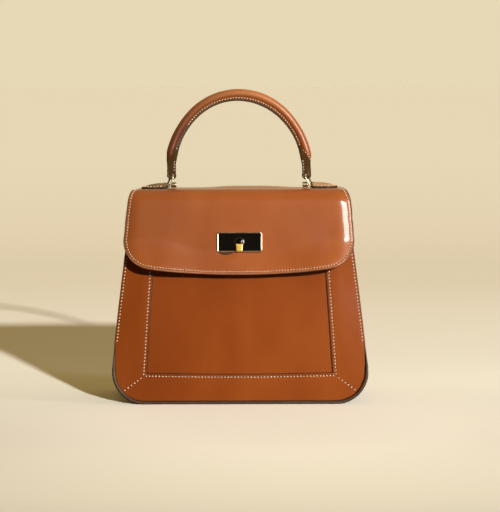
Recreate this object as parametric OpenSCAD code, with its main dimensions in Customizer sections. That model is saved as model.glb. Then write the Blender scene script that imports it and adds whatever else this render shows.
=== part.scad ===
// Structured top handle bag: a stiff tapered body, a flap with a turn lock, and a swinging handle.
// Millimetres. +Z is up, the front faces -Y, and the origin is under the middle of the base.

/* [Body] */
// Width of the body at its widest, just above the bottom corners
body_w = 262; // [235:1:290]
// Height of the closed bag, up to the top of the flap
body_h = 219; // [195:1:245]
// Depth of the body at the base
base_d = 100; // [88:1:125]
// Depth of the body at the height of the flap's top
top_d = 64; // [56:1:76]
// Lean of the side edges from upright, in degrees
side_lean = 6.9; // [5:0.1:8.5]
// Radius of the bottom corners
corner_r = 33; // [26:1:40]
// How far the rim of the body lies below the top of the flap
rim_drop = 10; // [9:0.5:14]

/* [Leather and lining] */
// Thickness of the front and back panels
panel_t = 1.4; // [1:0.1:2]
// Thickness of the strips that frame the front
frame_t = 1.6; // [1:0.1:2.2]
// Thickness of the side gussets
gusset_t = 1.6; // [1.2:0.1:2.2]
// Thickness of the base leather that wraps the bottom corners
base_t = 1.6; // [1.2:0.1:2.2]
// Thickness of the stiffening boards
board_t = 1.2; // [0.8:0.1:1.8]
// Thickness of the lining
lining_t = 0.6; // [0.5:0.1:1]

/* [Front frame] */
// Width of the side strips of the frame at their foot
frame_w = 35.7; // [28:0.1:42]
// Height of the bottom strip of the frame
frame_foot_h = 31; // [24:0.5:38]
// Lean of the inner edges of the side strips, in degrees
frame_lean = 3.7; // [2:0.1:5]
// Slope of the mitre seams below level, in degrees
mitre_angle = 38; // [32:1:46]

/* [Welt] */
// Width of the dark welt round the foot of the body
welt_w = 3.4; // [2.4:0.1:4.5]
// Height at which the welt and the base leather end
welt_h = 62; // [50:1:80]
// How far the welt stands proud of the frame
welt_proud = 0.4; // [0.2:0.1:0.8]

/* [Back] */
// Height of the yoke along the top of the back
yoke_h = 30; // [20:1:45]
// Thickness of the yoke
yoke_t = 1.6; // [1.2:0.1:2]

/* [Slip pocket] */
// Width of the pocket inside the back
pocket_w = 150; // [110:1:170]
// Height of the pocket
pocket_h = 88; // [70:1:100]
// Height of the foot of the pocket above the ground
pocket_foot = 96; // [80:1:100]
// Room in the pocket from front to back
pocket_gap = 8; // [7:0.5:10]
// Thickness of the pocket's leather
pocket_t = 1; // [0.8:0.1:1.5]
// Width of the seams at the sides and foot of the pocket
pocket_seam = 4; // [3:0.5:6]

/* [Flap] */
// Drop of the flap in front, from its top to its lowest point
flap_drop = 86; // [76:1:96]
// How far the flap overhangs the body at each side
flap_over = 3.2; // [2:0.1:4.5]
// Radius of the flap's lower corners
flap_corner_r = 31; // [24:1:38]
// Radius of the gentle curve of the flap's lower edge
flap_edge_r = 560; // [450:10:800]
// Radius of the roll from the top of the flap to its front
flap_bend_r = 16; // [14.5:0.5:20]
// How far each side edge of the flap draws in over that roll
flap_draw_in = 7; // [4:0.5:9]
// Room between the flap and the front panel
flap_gap = 5; // [5:0.1:6.5]
// Thickness of the flap's outer leather
flap_leather_t = 1.8; // [1.4:0.1:2.2]
// Thickness of the flap's stiffener
flap_board_t = 0.8; // [0.6:0.1:1.2]
// Thickness of the flap's lining
flap_lining_t = 0.8; // [0.6:0.1:1]

/* [Lock] */
// Height of the middle of the lock above the ground
lock_z = 165; // [160:1:170]
// Width of the lock's plate with its bezel
lock_w = 45; // [40:0.5:50]
// Height of the lock's plate with its bezel
lock_h = 20; // [18:0.5:23]
// Width of the bezel's rim
bezel_w = 1.1; // [0.8:0.1:1.5]
// Radius of the bezel's corners
bezel_r = 1.6; // [1.2:0.1:2.5]
// Thickness of the lock's plate
lock_t = 1.2; // [1:0.1:1.6]
// How far the bezel stands above the plate
bezel_rise = 0.4; // [0.3:0.1:0.6]
// Radius of the collar on the plate
collar_r = 5; // [4.4:0.1:6]
// Height of the collar on the plate
collar_h = 1.4; // [1:0.1:2]
// Width of the lever
lever_w = 7.2; // [6:0.1:8]
// Reach of the lever below the middle of the lock
lever_down = 9.3; // [8:0.1:9.5]
// Reach of the lever above the middle of the lock
lever_up = 5; // [4.5:0.1:6]
// Thickness of the lever
lever_t = 2.7; // [2.2:0.1:3.5]
// Radius of the lock's shaft
shaft_r = 2; // [1.6:0.1:2.4]
// Running clearance round the shaft
shaft_clear = 0.05; // [0.03:0.01:0.08]
// Thickness of the tongue behind the flap
tongue_t = 1.1; // [0.9:0.1:1.3]
// Reach of the tongue from the shaft
tongue_l = 12.5; // [11.5:0.1:13.5]
// Width of the tongue
tongue_w = 5.2; // [4.4:0.1:6]
// Thickness of the plate behind the flap
backing_t = 0.8; // [0.6:0.1:0.9]
// Radius of the small rivets of the lock and the keeper
rivet_r = 0.8; // [0.6:0.1:1]

/* [Keeper] */
// Width of the keeper's plate on the front panel
keeper_w = 30; // [28:0.5:34]
// Height of the keeper's plate
keeper_h = 28; // [26:0.5:32]
// Thickness of the keeper's plate
keeper_t = 0.8; // [0.6:0.1:0.9]
// Height of the keeper's bar above the middle of the lock, to its lower edge
bar_rise = 7.5; // [7:0.1:8]
// Width of the keeper's bar
bar_w = 2.6; // [2.2:0.1:3]
// Thickness of the keeper's bar
bar_t = 0.9; // [0.8:0.1:1]

/* [Handle] */
// Height of the handle's arch above the top of the flap
handle_rise = 103; // [92:1:112]
// Outer radius of the handle's arch
handle_r = 73.5; // [66:0.5:80]
// Radius of the handle's roll
roll_r = 4.3; // [3.6:0.1:5]
// Thickness of the leather round the roll
roll_cover_t = 1.3; // [1:0.1:1.6]
// How far the stitched flange reaches inwards from the roll
flange_reach = 2.7; // [2:0.1:3.5]
// Thickness of the stitched flange
flange_t = 2.6; // [2:0.1:3.2]
// Where the roll ends, in degrees above the middle of the arch
roll_end = 8; // [4:0.5:12]
// Width of the end straps
strap_w = 8.4; // [7:0.1:9.5]
// Thickness of the end straps where they meet the roll
strap_top_t = 6.8; // [5:0.1:8]
// Thickness of the end straps at their eyes
strap_eye_t = 2.1; // [1.8:0.1:2.3]

/* [Handle fittings] */
// Distance of the links from the middle of the bag, at their bars
link_x = 73.5; // [68:0.5:78]
// Radius of the links' wire
wire_r = 0.75; // [0.6:0.05:0.9]
// Radius of the bars that the links hang on
bar_r = 1; // [0.8:0.05:1.1]
// Lean of the links towards each other, in degrees
link_lean = 24; // [18:1:28]
// Length of the links' straight sides
link_l = 8.2; // [7.5:0.1:9.5]
// Radius of the knobs at the ends of the bars
knob_r = 2.7; // [2.2:0.1:2.8]
// Length of the knobs
knob_l = 5.7; // [4.5:0.1:7]
// Length of the tabs
tab_l = 26; // [22:0.5:28]
// Width of the tabs from front to back
tab_w = 24; // [18:0.5:28]
// Thickness of the tabs at their inner ends
tab_inner_t = 5.6; // [5.2:0.1:6.5]
// Thickness of the tabs at their outer ends
tab_outer_t = 2.8; // [2.2:0.1:3.6]

/* [Clearances] */
// Clearance between pieces that move past each other
move_clear = 0.3; // [0.3:0.05:0.35]
// Clearance between pieces that are sewn or glued together
sewn_clear = 0.1; // [0.05:0.05:0.2]

/* [Hidden] */
$fn = 96;

TAN = [0.70, 0.40, 0.20];
TAN_DEEP = [0.60, 0.32, 0.15];
EDGE_BROWN = [0.27, 0.15, 0.09];
LINING_BROWN = [0.52, 0.33, 0.20];
BOARD_GREY = [0.62, 0.58, 0.52];
BLACK_GLOSS = [0.07, 0.06, 0.05];
GOLD = [0.83, 0.66, 0.34];
CORE_WHITE = [0.88, 0.84, 0.76];

// One overrun serves every cut
overrun = base_d / 10;
// Steps in each arc of an outline
arc_steps = 20;

// The front and back faces lean in towards the top
lean = atan((base_d - top_d) / 2 / body_h);
rim_z = body_h - rim_drop;
corner_x = body_w / 2 - corner_r;
side_normal = [cos(side_lean), sin(side_lean)];
side_offset = corner_x * side_normal.x + corner_r * side_normal.y + corner_r;
wall_in = base_t + gusset_t;
stack_t = panel_t + board_t;
welt_out = frame_t + welt_proud;

// Points of an arc, and the same points on the other side of the middle
function arc(centre, r, from, to) =
    [for (i = [0:arc_steps]) let (a = from + (to - from) * i / arc_steps) centre + r * [cos(a), sin(a)]];
function other_side(points) = [for (i = [len(points) - 1:-1:0]) [-points[i].x, points[i].y]];
function tail(points) = [for (i = [1:len(points) - 1]) points[i]];

function side_x(z, out = 0) = (side_offset + out - z * side_normal.y) / side_normal.x;
function face_y(z, level = 0) = base_d / 2 - z * tan(lean) + level / cos(lean);

// The flap's layers, counted inwards from its outer face
flap_t = flap_leather_t + flap_board_t + flap_lining_t;
flap_out = flap_gap + flap_t;
flap_low = body_h - flap_drop;
bend_z = body_h - flap_bend_r;
bend_y = (sin(lean) * bend_z - cos(lean) * base_d / 2 - flap_out + flap_bend_r) / cos(lean);
hinge_r = flap_t / 2;
hinge_z = body_h - hinge_r;
hinge_y = face_y(hinge_z);
back_top_z = hinge_z - hinge_r - move_clear;

// The flap's lower corners touch its side lines and the long curve of its lower edge
flap_edge_centre = [0, flap_low + flap_edge_r];
flap_side = side_offset + flap_over;
down_side = [side_normal.y, -side_normal.x];
corner_start = (flap_side - flap_corner_r) * side_normal - flap_edge_centre;
corner_along = corner_start * down_side;
inner_edge_r = flap_edge_r - flap_corner_r;
corner_slide = sqrt(pow(corner_along, 2) - corner_start * corner_start + pow(inner_edge_r, 2)) - corner_along;
flap_corner = flap_edge_centre + corner_start + corner_slide * down_side;
corner_angle = atan2(flap_corner.y - flap_edge_centre.y, flap_corner.x);

// The lock's levels, counted outwards from the face of the front panel
plate_out = flap_out + lock_t;
collar_out = plate_out + collar_h;
lever_in = collar_out + move_clear;
lever_out = lever_in + lever_t;
tongue_in = keeper_t + move_clear + sewn_clear;
tongue_out = tongue_in + tongue_t;
bar_in = tongue_out + 2 * move_clear;
bar_out = bar_in + bar_t;
shaft_hole_r = shaft_r + 5 * sewn_clear;
rivet_hole_r = rivet_r + sewn_clear;
lock_rivet_x = lock_w / 2 - bezel_w - 4 * rivet_r;
lock_rivet_z = lock_h / 2 - bezel_w - 3 * rivet_r;
backing_w = lock_w - 2 * bezel_w - 2 * rivet_r;
backing_h = lock_h - 2 * bezel_w - 2 * rivet_r;
keeper_rivet_x = keeper_w / 2 - 2 * rivet_r;
keeper_rivet_z = keeper_h / 2 - 2 * rivet_r;
keeper_leg_w = bar_w;
keeper_leg_x = tongue_w / 2 + bar_w + 2 * bar_r + 2 * rivet_r;
keeper_hook_x = tongue_w / 2 + bar_t;

// The handle stands over the middle of the body and turns about the two bars
handle_y = 0;
link_r = bar_r + wire_r + move_clear + sewn_clear / 2;
pivot_z = body_h + link_r + wire_r + move_clear;
arch_z = body_h + handle_rise - handle_r;
roll_line_r = handle_r - roll_r;
flange_in_r = handle_r - 2 * roll_r - flange_reach;
eye_x = link_x - (link_l + link_r) * sin(link_lean);
eye_z = pivot_z + (link_l + link_r) * cos(link_lean);
eye_hole_r = wire_r + 4 * sewn_clear;
strap_eye_r = strap_w / 2;
tab_inner_x = link_x + link_r * sin(link_lean) + wire_r / cos(link_lean) + move_clear;
tab_outer_x = tab_inner_x + tab_l;
knob_outer_x = link_x - knob_r * tan(link_lean) - wire_r / cos(link_lean) - move_clear;
bar_length_in_tab = tab_l / 3;

// Outline of the body seen from the front, drawn in by inset on its sides and foot
module outline(inset, top) {
    corner = arc([corner_x, corner_r], corner_r - inset, -90, side_lean);
    top_x = side_x(top, -inset);
    polygon(concat(corner, [[top_x, top], [-top_x, top]], other_side(corner)));
}

// A front-view shape carried from front to back through the whole bag
module through() {
    rotate([90, 0, 0]) linear_extrude(height = 2 * base_d, center = true) children();
}

// Local x and y run across and up the leaning front face, and z runs outwards from it
module on_front() {
    translate([0, -base_d / 2, 0]) rotate([90 - lean, 0, 0]) children();
}

module slab(inner, outer) {
    on_front() translate([-body_w, -body_h / 2, inner]) cube([2 * body_w, 2 * body_h, outer - inner]);
}

// One flat layer of the front, between two levels of the front face
module layer(inner, outer) {
    intersection() {
        through() children();
        slab(inner, outer);
    }
}

module to_back() {
    mirror([0, 1, 0]) children();
}

module to_left() {
    mirror([1, 0, 0]) children();
}

// The room between the rear faces of the front and back panels
module between_panels() {
    intersection() {
        slab(-2 * base_d, -panel_t);
        to_back() slab(-2 * base_d, -panel_t);
    }
}

// A wall that follows the body's outline, from inset inwards
module wall(inset, thickness, top) {
    intersection() {
        through() difference() {
            outline(inset, top);
            outline(inset + thickness, top + overrun);
        }
        between_panels();
    }
}

module welt_ring() {
    intersection() {
        difference() {
            outline(0, rim_z);
            outline(welt_w, rim_z);
        }
        translate([-body_w, -overrun]) square([2 * body_w, overrun + welt_h]);
    }
}

module face_outline(top) {
    difference() {
        outline(0, top);
        welt_room();
    }
}

// The welt's place with its sewn clearance, so that it sits beside the leather and not in it
module welt_room() {
    intersection() {
        difference() {
            outline(-overrun, rim_z);
            outline(welt_w + sewn_clear, rim_z);
        }
        translate([-body_w, -overrun]) square([2 * body_w, overrun + welt_h + sewn_clear]);
    }
}

// The recessed opening that the frame strips leave in the front
module frame_opening(top) {
    foot_x = body_w / 2 - frame_w;
    top_x = foot_x - (top - frame_foot_h) * tan(frame_lean);
    polygon([[-foot_x, frame_foot_h], [foot_x, frame_foot_h], [top_x, top], [-top_x, top]]);
}

// Everything below the mitre seams
module below_mitres(gap) {
    foot_x = body_w / 2 - frame_w;
    run = body_w / 2;
    fall = run * tan(mitre_angle);
    edge = frame_foot_h - gap;
    polygon([
        [-foot_x, edge], [foot_x, edge], [foot_x + run, edge - fall],
        [foot_x + run, -fall - overrun], [-foot_x - run, -fall - overrun], [-foot_x - run, edge - fall]
    ]);
}

module side_strip() {
    layer(0, frame_t) intersection() {
        difference() {
            face_outline(rim_z);
            frame_opening(rim_z + overrun);
            below_mitres(0);
        }
        square([body_w, body_h]);
    }
}

module rivet_holes(x, z, r) {
    for (side = [-1, 1], end = [-1, 1]) translate([side * x, end * z]) circle(r);
}

// Local drawing plane of the lock, on the leaning front face
module at_lock(level) {
    on_front() translate([0, lock_z / cos(lean), level]) children();
}

module keeper_rivet_pattern(r) {
    rivet_holes(keeper_rivet_x, keeper_rivet_z, r);
}

module keeper_rivet_cut() {
    at_lock(-stack_t - overrun) linear_extrude(height = stack_t + 2 * overrun) keeper_rivet_pattern(rivet_hole_r);
}

module centre_panel() {
    color(TAN) difference() {
        layer(-panel_t, 0) face_outline(rim_z);
        keeper_rivet_cut();
    }
}

module frame_right() {
    color(TAN) side_strip();
}

module frame_left() {
    color(TAN_DEEP) to_left() side_strip();
}

module frame_bottom() {
    color(TAN) layer(0, frame_t) intersection() {
        face_outline(rim_z);
        below_mitres(sewn_clear);
    }
}

module inner_sheet(inner, outer, foot) {
    layer(-outer, -inner) intersection() {
        outline(wall_in + lining_t + sewn_clear, rim_z - lining_t);
        translate([-body_w, foot]) square([2 * body_w, body_h]);
    }
}

sheet_foot = wall_in + lining_t + sewn_clear;

module front_board() {
    color(BOARD_GREY) difference() {
        inner_sheet(panel_t, stack_t, sheet_foot);
        keeper_rivet_cut();
    }
}

module front_lining() {
    color(LINING_BROWN) inner_sheet(stack_t, stack_t + lining_t, sheet_foot);
}

module back_panel() {
    color(TAN) to_back() layer(-panel_t, 0) difference() {
        outline(0, back_top_z);
        welt_room();
    }
}

module back_yoke() {
    color(TAN) to_back() layer(0, yoke_t) intersection() {
        outline(0, back_top_z);
        translate([-body_w, back_top_z - yoke_h]) square([2 * body_w, body_h]);
    }
}

module back_board() {
    color(BOARD_GREY) to_back() inner_sheet(panel_t, stack_t, sheet_foot);
}

module back_lining() {
    color(LINING_BROWN) to_back() inner_sheet(stack_t, stack_t + lining_t, sheet_foot);
}

// Each gusset runs from the rim down round its bottom corner to the base board
module gusset_right() {
    color(TAN) intersection() {
        wall(base_t, gusset_t, rim_z);
        translate([corner_x, -base_d, -overrun]) cube([body_w, 2 * base_d, body_h + overrun]);
    }
}

module gusset_left() {
    color(TAN_DEEP) to_left() gusset_right();
}

module base_leather() {
    color(TAN_DEEP) intersection() {
        wall(0, base_t, rim_z);
        translate([-body_w, -base_d, -overrun]) cube([2 * body_w, 2 * base_d, overrun + welt_h]);
    }
}

module base_board() {
    color(BOARD_GREY) intersection() {
        translate([-corner_x + sewn_clear, -base_d, base_t])
            cube([2 * (corner_x - sewn_clear), 2 * base_d, gusset_t]);
        between_panels();
    }
}

module gusset_lining() {
    color(LINING_BROWN) wall(wall_in, lining_t, rim_z - lining_t);
}

module pocket_outline(seam, top) {
    translate([-pocket_w / 2 + seam, pocket_foot + seam]) square([pocket_w - 2 * seam, top - seam]);
}

module slip_pocket() {
    inner = stack_t + lining_t;
    color(LINING_BROWN) to_back() difference() {
        layer(-inner - pocket_gap - pocket_t, -inner) pocket_outline(0, pocket_h);
        layer(-inner - pocket_gap, -inner + overrun) pocket_outline(pocket_seam, pocket_h + overrun);
    }
}

module front_welt() {
    color(EDGE_BROWN) layer(-panel_t, welt_out) welt_ring();
}

module back_welt() {
    color(EDGE_BROWN) to_back() front_welt();
}

// A hook: the turned tongue slides up behind its bar from the open side
module keeper() {
    color(GOLD) {
        difference() {
            at_lock(0) linear_extrude(height = keeper_t)
                square([keeper_w, keeper_h], center = true);
            at_lock(-overrun) linear_extrude(height = 2 * overrun) keeper_rivet_pattern(rivet_hole_r);
        }
        at_lock(0) translate([-keeper_leg_x - keeper_leg_w, bar_rise, 0])
            cube([keeper_leg_w, bar_w, bar_out]);
        at_lock(bar_in) translate([-keeper_leg_x - keeper_leg_w, bar_rise, 0])
            cube([keeper_leg_x + keeper_leg_w + keeper_hook_x, bar_w, bar_t]);
    }
}

module keeper_rivets() {
    color(GOLD) at_lock(-stack_t) linear_extrude(height = stack_t + keeper_t) keeper_rivet_pattern(rivet_r);
}

// Outline of the flap seen from the front, drawn in by inset
module flap_outline(inset) {
    top = body_h + overrun;
    top_x = side_x(top, flap_over - inset);
    low_edge = arc(flap_edge_centre, flap_edge_r - inset, -90, corner_angle);
    corner = arc(flap_corner, flap_corner_r - inset, corner_angle, side_lean);
    right = concat(low_edge, tail(corner));
    polygon(concat(right, [[top_x, top], [-top_x, top]], other_side(tail(right))));
}

// Outline of the flap seen from above: its side edges draw in over the roll
module flap_plan(inset) {
    front_x = side_x(bend_z, flap_over - inset);
    top_x = front_x - flap_draw_in;
    front_y = bend_y - flap_bend_r;
    polygon([
        [-body_w, -base_d], [body_w, -base_d], [body_w, front_y], [front_x, front_y], [top_x, bend_y],
        [top_x, base_d], [-top_x, base_d], [-top_x, bend_y], [-front_x, front_y], [-body_w, front_y]
    ]);
}

// Side view of everything inside the flap's outer face drawn in by depth
module flap_inside(depth, rear_y, foot_run) {
    roll = arc([bend_y, bend_z], flap_bend_r - depth, 90, 180 - lean);
    foot = roll[arc_steps] - (flap_drop + foot_run) * [sin(lean), cos(lean)];
    polygon(concat([[rear_y, body_h - depth]], roll, [foot, [rear_y, foot.y]]));
}

module flap_shell(depth, thickness, inset, rear_y) {
    intersection() {
        rotate([90, 0, 90]) linear_extrude(height = 2 * body_w, center = true) difference() {
            flap_inside(depth, rear_y, 0);
            flap_inside(depth + thickness, rear_y + overrun, overrun);
        }
        through() flap_outline(inset);
        linear_extrude(height = 2 * body_h) flap_plan(inset);
    }
}

module lock_holes() {
    at_lock(flap_gap - overrun) linear_extrude(height = flap_t + 2 * overrun) {
        circle(shaft_hole_r);
        rivet_holes(lock_rivet_x, lock_rivet_z, rivet_hole_r);
    }
}

flap_turn_in = 2 * flap_lining_t;
hinge_half_w = side_x(bend_z, flap_over) - flap_draw_in;

// The leather ends at the back in a roll round the hinge line
module flap_leather() {
    color(TAN) difference() {
        union() {
            flap_shell(0, flap_leather_t, 0, hinge_y);
            translate([-hinge_half_w, hinge_y, hinge_z]) rotate([0, 90, 0])
                cylinder(r = hinge_r, h = 2 * hinge_half_w);
        }
        lock_holes();
    }
}

module flap_board() {
    color(BOARD_GREY) difference() {
        flap_shell(flap_leather_t, flap_board_t, flap_turn_in, hinge_y - hinge_r - sewn_clear);
        lock_holes();
    }
}

module flap_lining() {
    color(LINING_BROWN) difference() {
        flap_shell(flap_leather_t + flap_board_t, flap_lining_t, flap_turn_in, hinge_y - hinge_r - sewn_clear);
        lock_holes();
    }
}

module rounded_plate(w, h, r) {
    square([w, h - 2 * r], center = true);
    square([w - 2 * r, h], center = true);
    for (side = [-1, 1], end = [-1, 1]) translate([side * (w / 2 - r), end * (h / 2 - r)]) circle(r);
}

module lock_bezel() {
    color(GOLD) at_lock(flap_out) linear_extrude(height = lock_t + bezel_rise) difference() {
        rounded_plate(lock_w, lock_h, bezel_r);
        square([lock_w - 2 * bezel_w, lock_h - 2 * bezel_w], center = true);
    }
}

module lock_plate() {
    rim = 2 * (bezel_w + sewn_clear);
    color(BLACK_GLOSS) at_lock(flap_out) linear_extrude(height = lock_t) difference() {
        square([lock_w - rim, lock_h - rim], center = true);
        circle(shaft_hole_r);
        rivet_holes(lock_rivet_x, lock_rivet_z, rivet_hole_r);
    }
}

module lock_collar() {
    color(BLACK_GLOSS) at_lock(plate_out) linear_extrude(height = collar_h) difference() {
        circle(collar_r);
        circle(shaft_r + shaft_clear);
    }
}

module lock_backing() {
    color(GOLD) at_lock(flap_gap - backing_t) linear_extrude(height = backing_t) difference() {
        square([backing_w, backing_h], center = true);
        circle(shaft_r + shaft_clear);
        rivet_holes(lock_rivet_x, lock_rivet_z, rivet_hole_r);
    }
}

module lock_rivets() {
    color(GOLD) at_lock(flap_gap - backing_t) linear_extrude(height = backing_t + flap_t + lock_t)
        rivet_holes(lock_rivet_x, lock_rivet_z, rivet_r);
}

module lock_lever() {
    foot_r = lever_w / 4;
    color(GOLD) at_lock(lever_in) linear_extrude(height = lever_t) difference() {
        union() {
            intersection() {
                circle(lever_up);
                translate([-lever_w / 2, 0]) square([lever_w, lever_up]);
            }
            translate([-lever_w / 2, foot_r - lever_down]) square([lever_w, lever_down - foot_r]);
            translate([foot_r - lever_w / 2, -lever_down]) square([lever_w - 2 * foot_r, lever_down]);
            for (side = [-1, 1]) translate([side * (lever_w / 2 - foot_r), foot_r - lever_down]) circle(foot_r);
        }
        circle(shaft_r + sewn_clear);
    }
}

module lock_shaft() {
    color(GOLD) at_lock(tongue_in) cylinder(r = shaft_r, h = lever_out - tongue_in);
}

// At rest the tongue points to the right, clear of the keeper's bar
module lock_tongue() {
    tip = tongue_l - tongue_w / 2;
    color(GOLD) at_lock(tongue_in) linear_extrude(height = tongue_t) difference() {
        union() {
            circle(tongue_w / 2 + bar_t);
            translate([0, -tongue_w / 2]) square([tip, tongue_w]);
            translate([tip, 0]) circle(tongue_w / 2);
        }
        circle(shaft_r + sewn_clear);
    }
}

// A wedge of leather with a round outer end, bored along X for the bar
module tab_right() {
    tip_r = tab_w / 2;
    bore_r = bar_r + sewn_clear;
    difference() {
        intersection() {
            translate([0, handle_y, body_h]) linear_extrude(height = tab_inner_t) {
                translate([tab_inner_x, -tip_r]) square([tab_l - tip_r, tab_w]);
                translate([tab_outer_x - tip_r, 0]) circle(tip_r);
            }
            translate([0, handle_y, 0]) through() polygon([
                [tab_inner_x, body_h], [tab_outer_x, body_h],
                [tab_outer_x, body_h + tab_outer_t], [tab_inner_x, body_h + tab_inner_t]
            ]);
        }
        translate([tab_inner_x - overrun, handle_y, pivot_z]) rotate([0, 90, 0])
            cylinder(r = bore_r, h = overrun + bar_length_in_tab + sewn_clear);
    }
}

module handle_tab_right() {
    color(TAN) tab_right();
}

module handle_tab_left() {
    color(TAN) to_left() tab_right();
}

module post_right() {
    edge = knob_r / 4;
    translate([knob_outer_x - knob_l, handle_y, pivot_z]) rotate([90, 0, 90]) {
        cylinder(r = bar_r, h = tab_inner_x + bar_length_in_tab - knob_outer_x + knob_l);
        rotate_extrude() {
            square([knob_r - edge, knob_l]);
            translate([0, edge]) square([knob_r, knob_l - 2 * edge]);
            translate([knob_r - edge, edge]) circle(edge);
            translate([knob_r - edge, knob_l - edge]) circle(edge);
        }
    }
}

module handle_post_right() {
    color(GOLD) post_right();
}

module handle_post_left() {
    color(GOLD) to_left() post_right();
}

// Turns a section drawn outwards and across into part of the arch
module arch(from_angle, to_angle) {
    translate([0, handle_y, arch_z]) rotate([90, 0, 0]) rotate([0, 0, from_angle])
        rotate_extrude(angle = to_angle - from_angle, $fn = 2 * $fn) children();
}

module handle_core() {
    core_r = roll_r - roll_cover_t - sewn_clear;
    color(CORE_WHITE) arch(roll_end, 180 - roll_end) translate([roll_line_r, 0]) circle(core_r);
}

module handle_cover() {
    flange_w = roll_r + flange_reach;
    color(TAN) arch(roll_end, 180 - roll_end) difference() {
        union() {
            translate([roll_line_r, 0]) circle(roll_r);
            translate([flange_in_r, -flange_t / 2]) square([flange_w, flange_t]);
        }
        translate([roll_line_r, 0]) circle(roll_r - roll_cover_t);
    }
}

function on_arch(r, angle) = [r * cos(angle), arch_z + r * sin(angle)];

// Front view of a strap, from the end of the roll down round its eye
module strap_front() {
    outer = on_arch(roll_line_r + strap_w / 2, roll_end);
    inner = on_arch(roll_line_r - strap_w / 2, roll_end);
    polygon([outer, inner, [eye_x - strap_eye_r, eye_z], [eye_x + strap_eye_r, eye_z]]);
    translate([eye_x, eye_z]) circle(strap_eye_r);
}

// Side view of a strap: it thins from the roll to the eye
module strap_side() {
    top = arch_z + handle_r * sin(roll_end);
    thin = eye_z + strap_eye_r;
    foot = eye_z - strap_eye_r;
    polygon([
        [-strap_top_t / 2, top], [-strap_eye_t / 2, thin], [-strap_eye_t / 2, foot],
        [strap_eye_t / 2, foot], [strap_eye_t / 2, thin], [strap_top_t / 2, top]
    ]);
}

module strap_right() {
    difference() {
        intersection() {
            through() strap_front();
            translate([0, handle_y, 0]) rotate([90, 0, 90])
                linear_extrude(height = 2 * body_w, center = true) strap_side();
        }
        translate([eye_x, handle_y, eye_z]) rotate([90, 0, 0])
            cylinder(r = eye_hole_r, h = strap_top_t, center = true);
    }
}

module handle_strap_right() {
    color(TAN_DEEP) strap_right();
}

module handle_strap_left() {
    color(TAN_DEEP) to_left() strap_right();
}

module half_link() {
    rotate([90, 0, 90]) rotate_extrude(angle = 180) translate([link_r, 0]) circle(wire_r);
}

// A long link in its own plane, which leans inwards from the bar to the eye
module link_right() {
    translate([link_x, handle_y, pivot_z]) rotate([0, -link_lean, 0]) {
        mirror([0, 0, 1]) half_link();
        translate([0, 0, link_l]) half_link();
        for (side = [-1, 1]) translate([0, side * link_r, 0]) cylinder(r = wire_r, h = link_l);
    }
}

module handle_link_right() {
    color(GOLD) link_right();
}

module handle_link_left() {
    color(GOLD) to_left() link_right();
}

centre_panel();
frame_left();
frame_right();
frame_bottom();
front_board();
front_lining();
back_panel();
back_yoke();
back_board();
back_lining();
gusset_left();
gusset_right();
base_leather();
base_board();
gusset_lining();
slip_pocket();
front_welt();
back_welt();
keeper();
keeper_rivets();
flap_leather();
flap_board();
flap_lining();
lock_plate();
lock_bezel();
lock_collar();
lock_backing();
lock_rivets();
handle_tab_left();
handle_tab_right();
handle_post_left();
handle_post_right();
lock_lever();
lock_shaft();
lock_tongue();
handle_core();
handle_cover();
handle_strap_left();
handle_strap_right();
handle_link_left();
handle_link_right();
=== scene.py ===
import math
import random

import bmesh
import bpy
import numpy as np
from mathutils import Matrix, Vector


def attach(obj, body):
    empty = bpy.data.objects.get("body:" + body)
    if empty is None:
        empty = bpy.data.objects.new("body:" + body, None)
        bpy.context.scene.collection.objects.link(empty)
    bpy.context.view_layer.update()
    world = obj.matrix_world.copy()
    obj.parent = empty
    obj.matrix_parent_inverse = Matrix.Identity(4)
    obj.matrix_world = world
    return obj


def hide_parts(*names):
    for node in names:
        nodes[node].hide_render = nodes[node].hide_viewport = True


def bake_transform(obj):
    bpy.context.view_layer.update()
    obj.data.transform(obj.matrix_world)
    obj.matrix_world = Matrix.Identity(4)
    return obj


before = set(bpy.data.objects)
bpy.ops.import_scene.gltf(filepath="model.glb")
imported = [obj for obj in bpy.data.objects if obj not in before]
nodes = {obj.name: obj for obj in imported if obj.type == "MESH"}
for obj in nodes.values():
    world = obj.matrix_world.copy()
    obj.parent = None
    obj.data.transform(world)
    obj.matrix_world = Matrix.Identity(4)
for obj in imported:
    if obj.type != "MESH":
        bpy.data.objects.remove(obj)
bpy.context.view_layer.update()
random.seed(7)

# Lengths in the script are millimetres, and become metres where a mesh is made.
MM = 0.001
# Half depth at the base, how fast front and back lean in with height, and that lean's cosine and sine
BASE_HALF = 50.0
LEAN = 18 / 219
COS, SIN = 0.99663927, 0.08191556
# The sides' distance from the middle, measured square to them, their cosine and sine, and their tilt
SIDE_REACH, SIDE_COS, SIDE_SIN = 134.256, 0.99276, 0.12014
TILT = math.radians(6.9)
# Centre and radius of the round lower corners, as (x, z), and the height of the mouth
CORNER, CORNER_R = (98.0, 33.0), 33.0
RIM_Z = 209.0
# Height where the leather's inset beside the welt ends, and over what height it narrows
FOOT_END, FOOT_RUN = 62.0, 34.0
# Thickness of the leather, and the gap that keeps two faces apart
LEATHER, PAD_GAP = 1.6, 0.02
SIDES = (("right", 1), ("left", -1))
PANELS = (("front", 1), ("back", -1))

# Metres, where a colour changes over the object: where the painted shade towards the left fades out, where
# the painted sheen high on the handle begins, and where the flap's edge paint changes to its colour on the
# sides
PAINTED_SHADE_X = (-0.13, 0.02)
PAINTED_SHEEN_Z = (0.275, 0.318)
FLAP_EDGE_Z = (0.15, 0.168)


# Materials

def tree(name):
    """A new material, its node tree and its main shader."""
    m = bpy.data.materials.new(name)
    m.use_nodes = True
    t = m.node_tree
    t.nodes.clear()
    out = t.nodes.new("ShaderNodeOutputMaterial")
    bsdf = t.nodes.new("ShaderNodeBsdfPrincipled")
    t.links.new(bsdf.outputs[0], out.inputs[0])
    return m, t, bsdf


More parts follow.
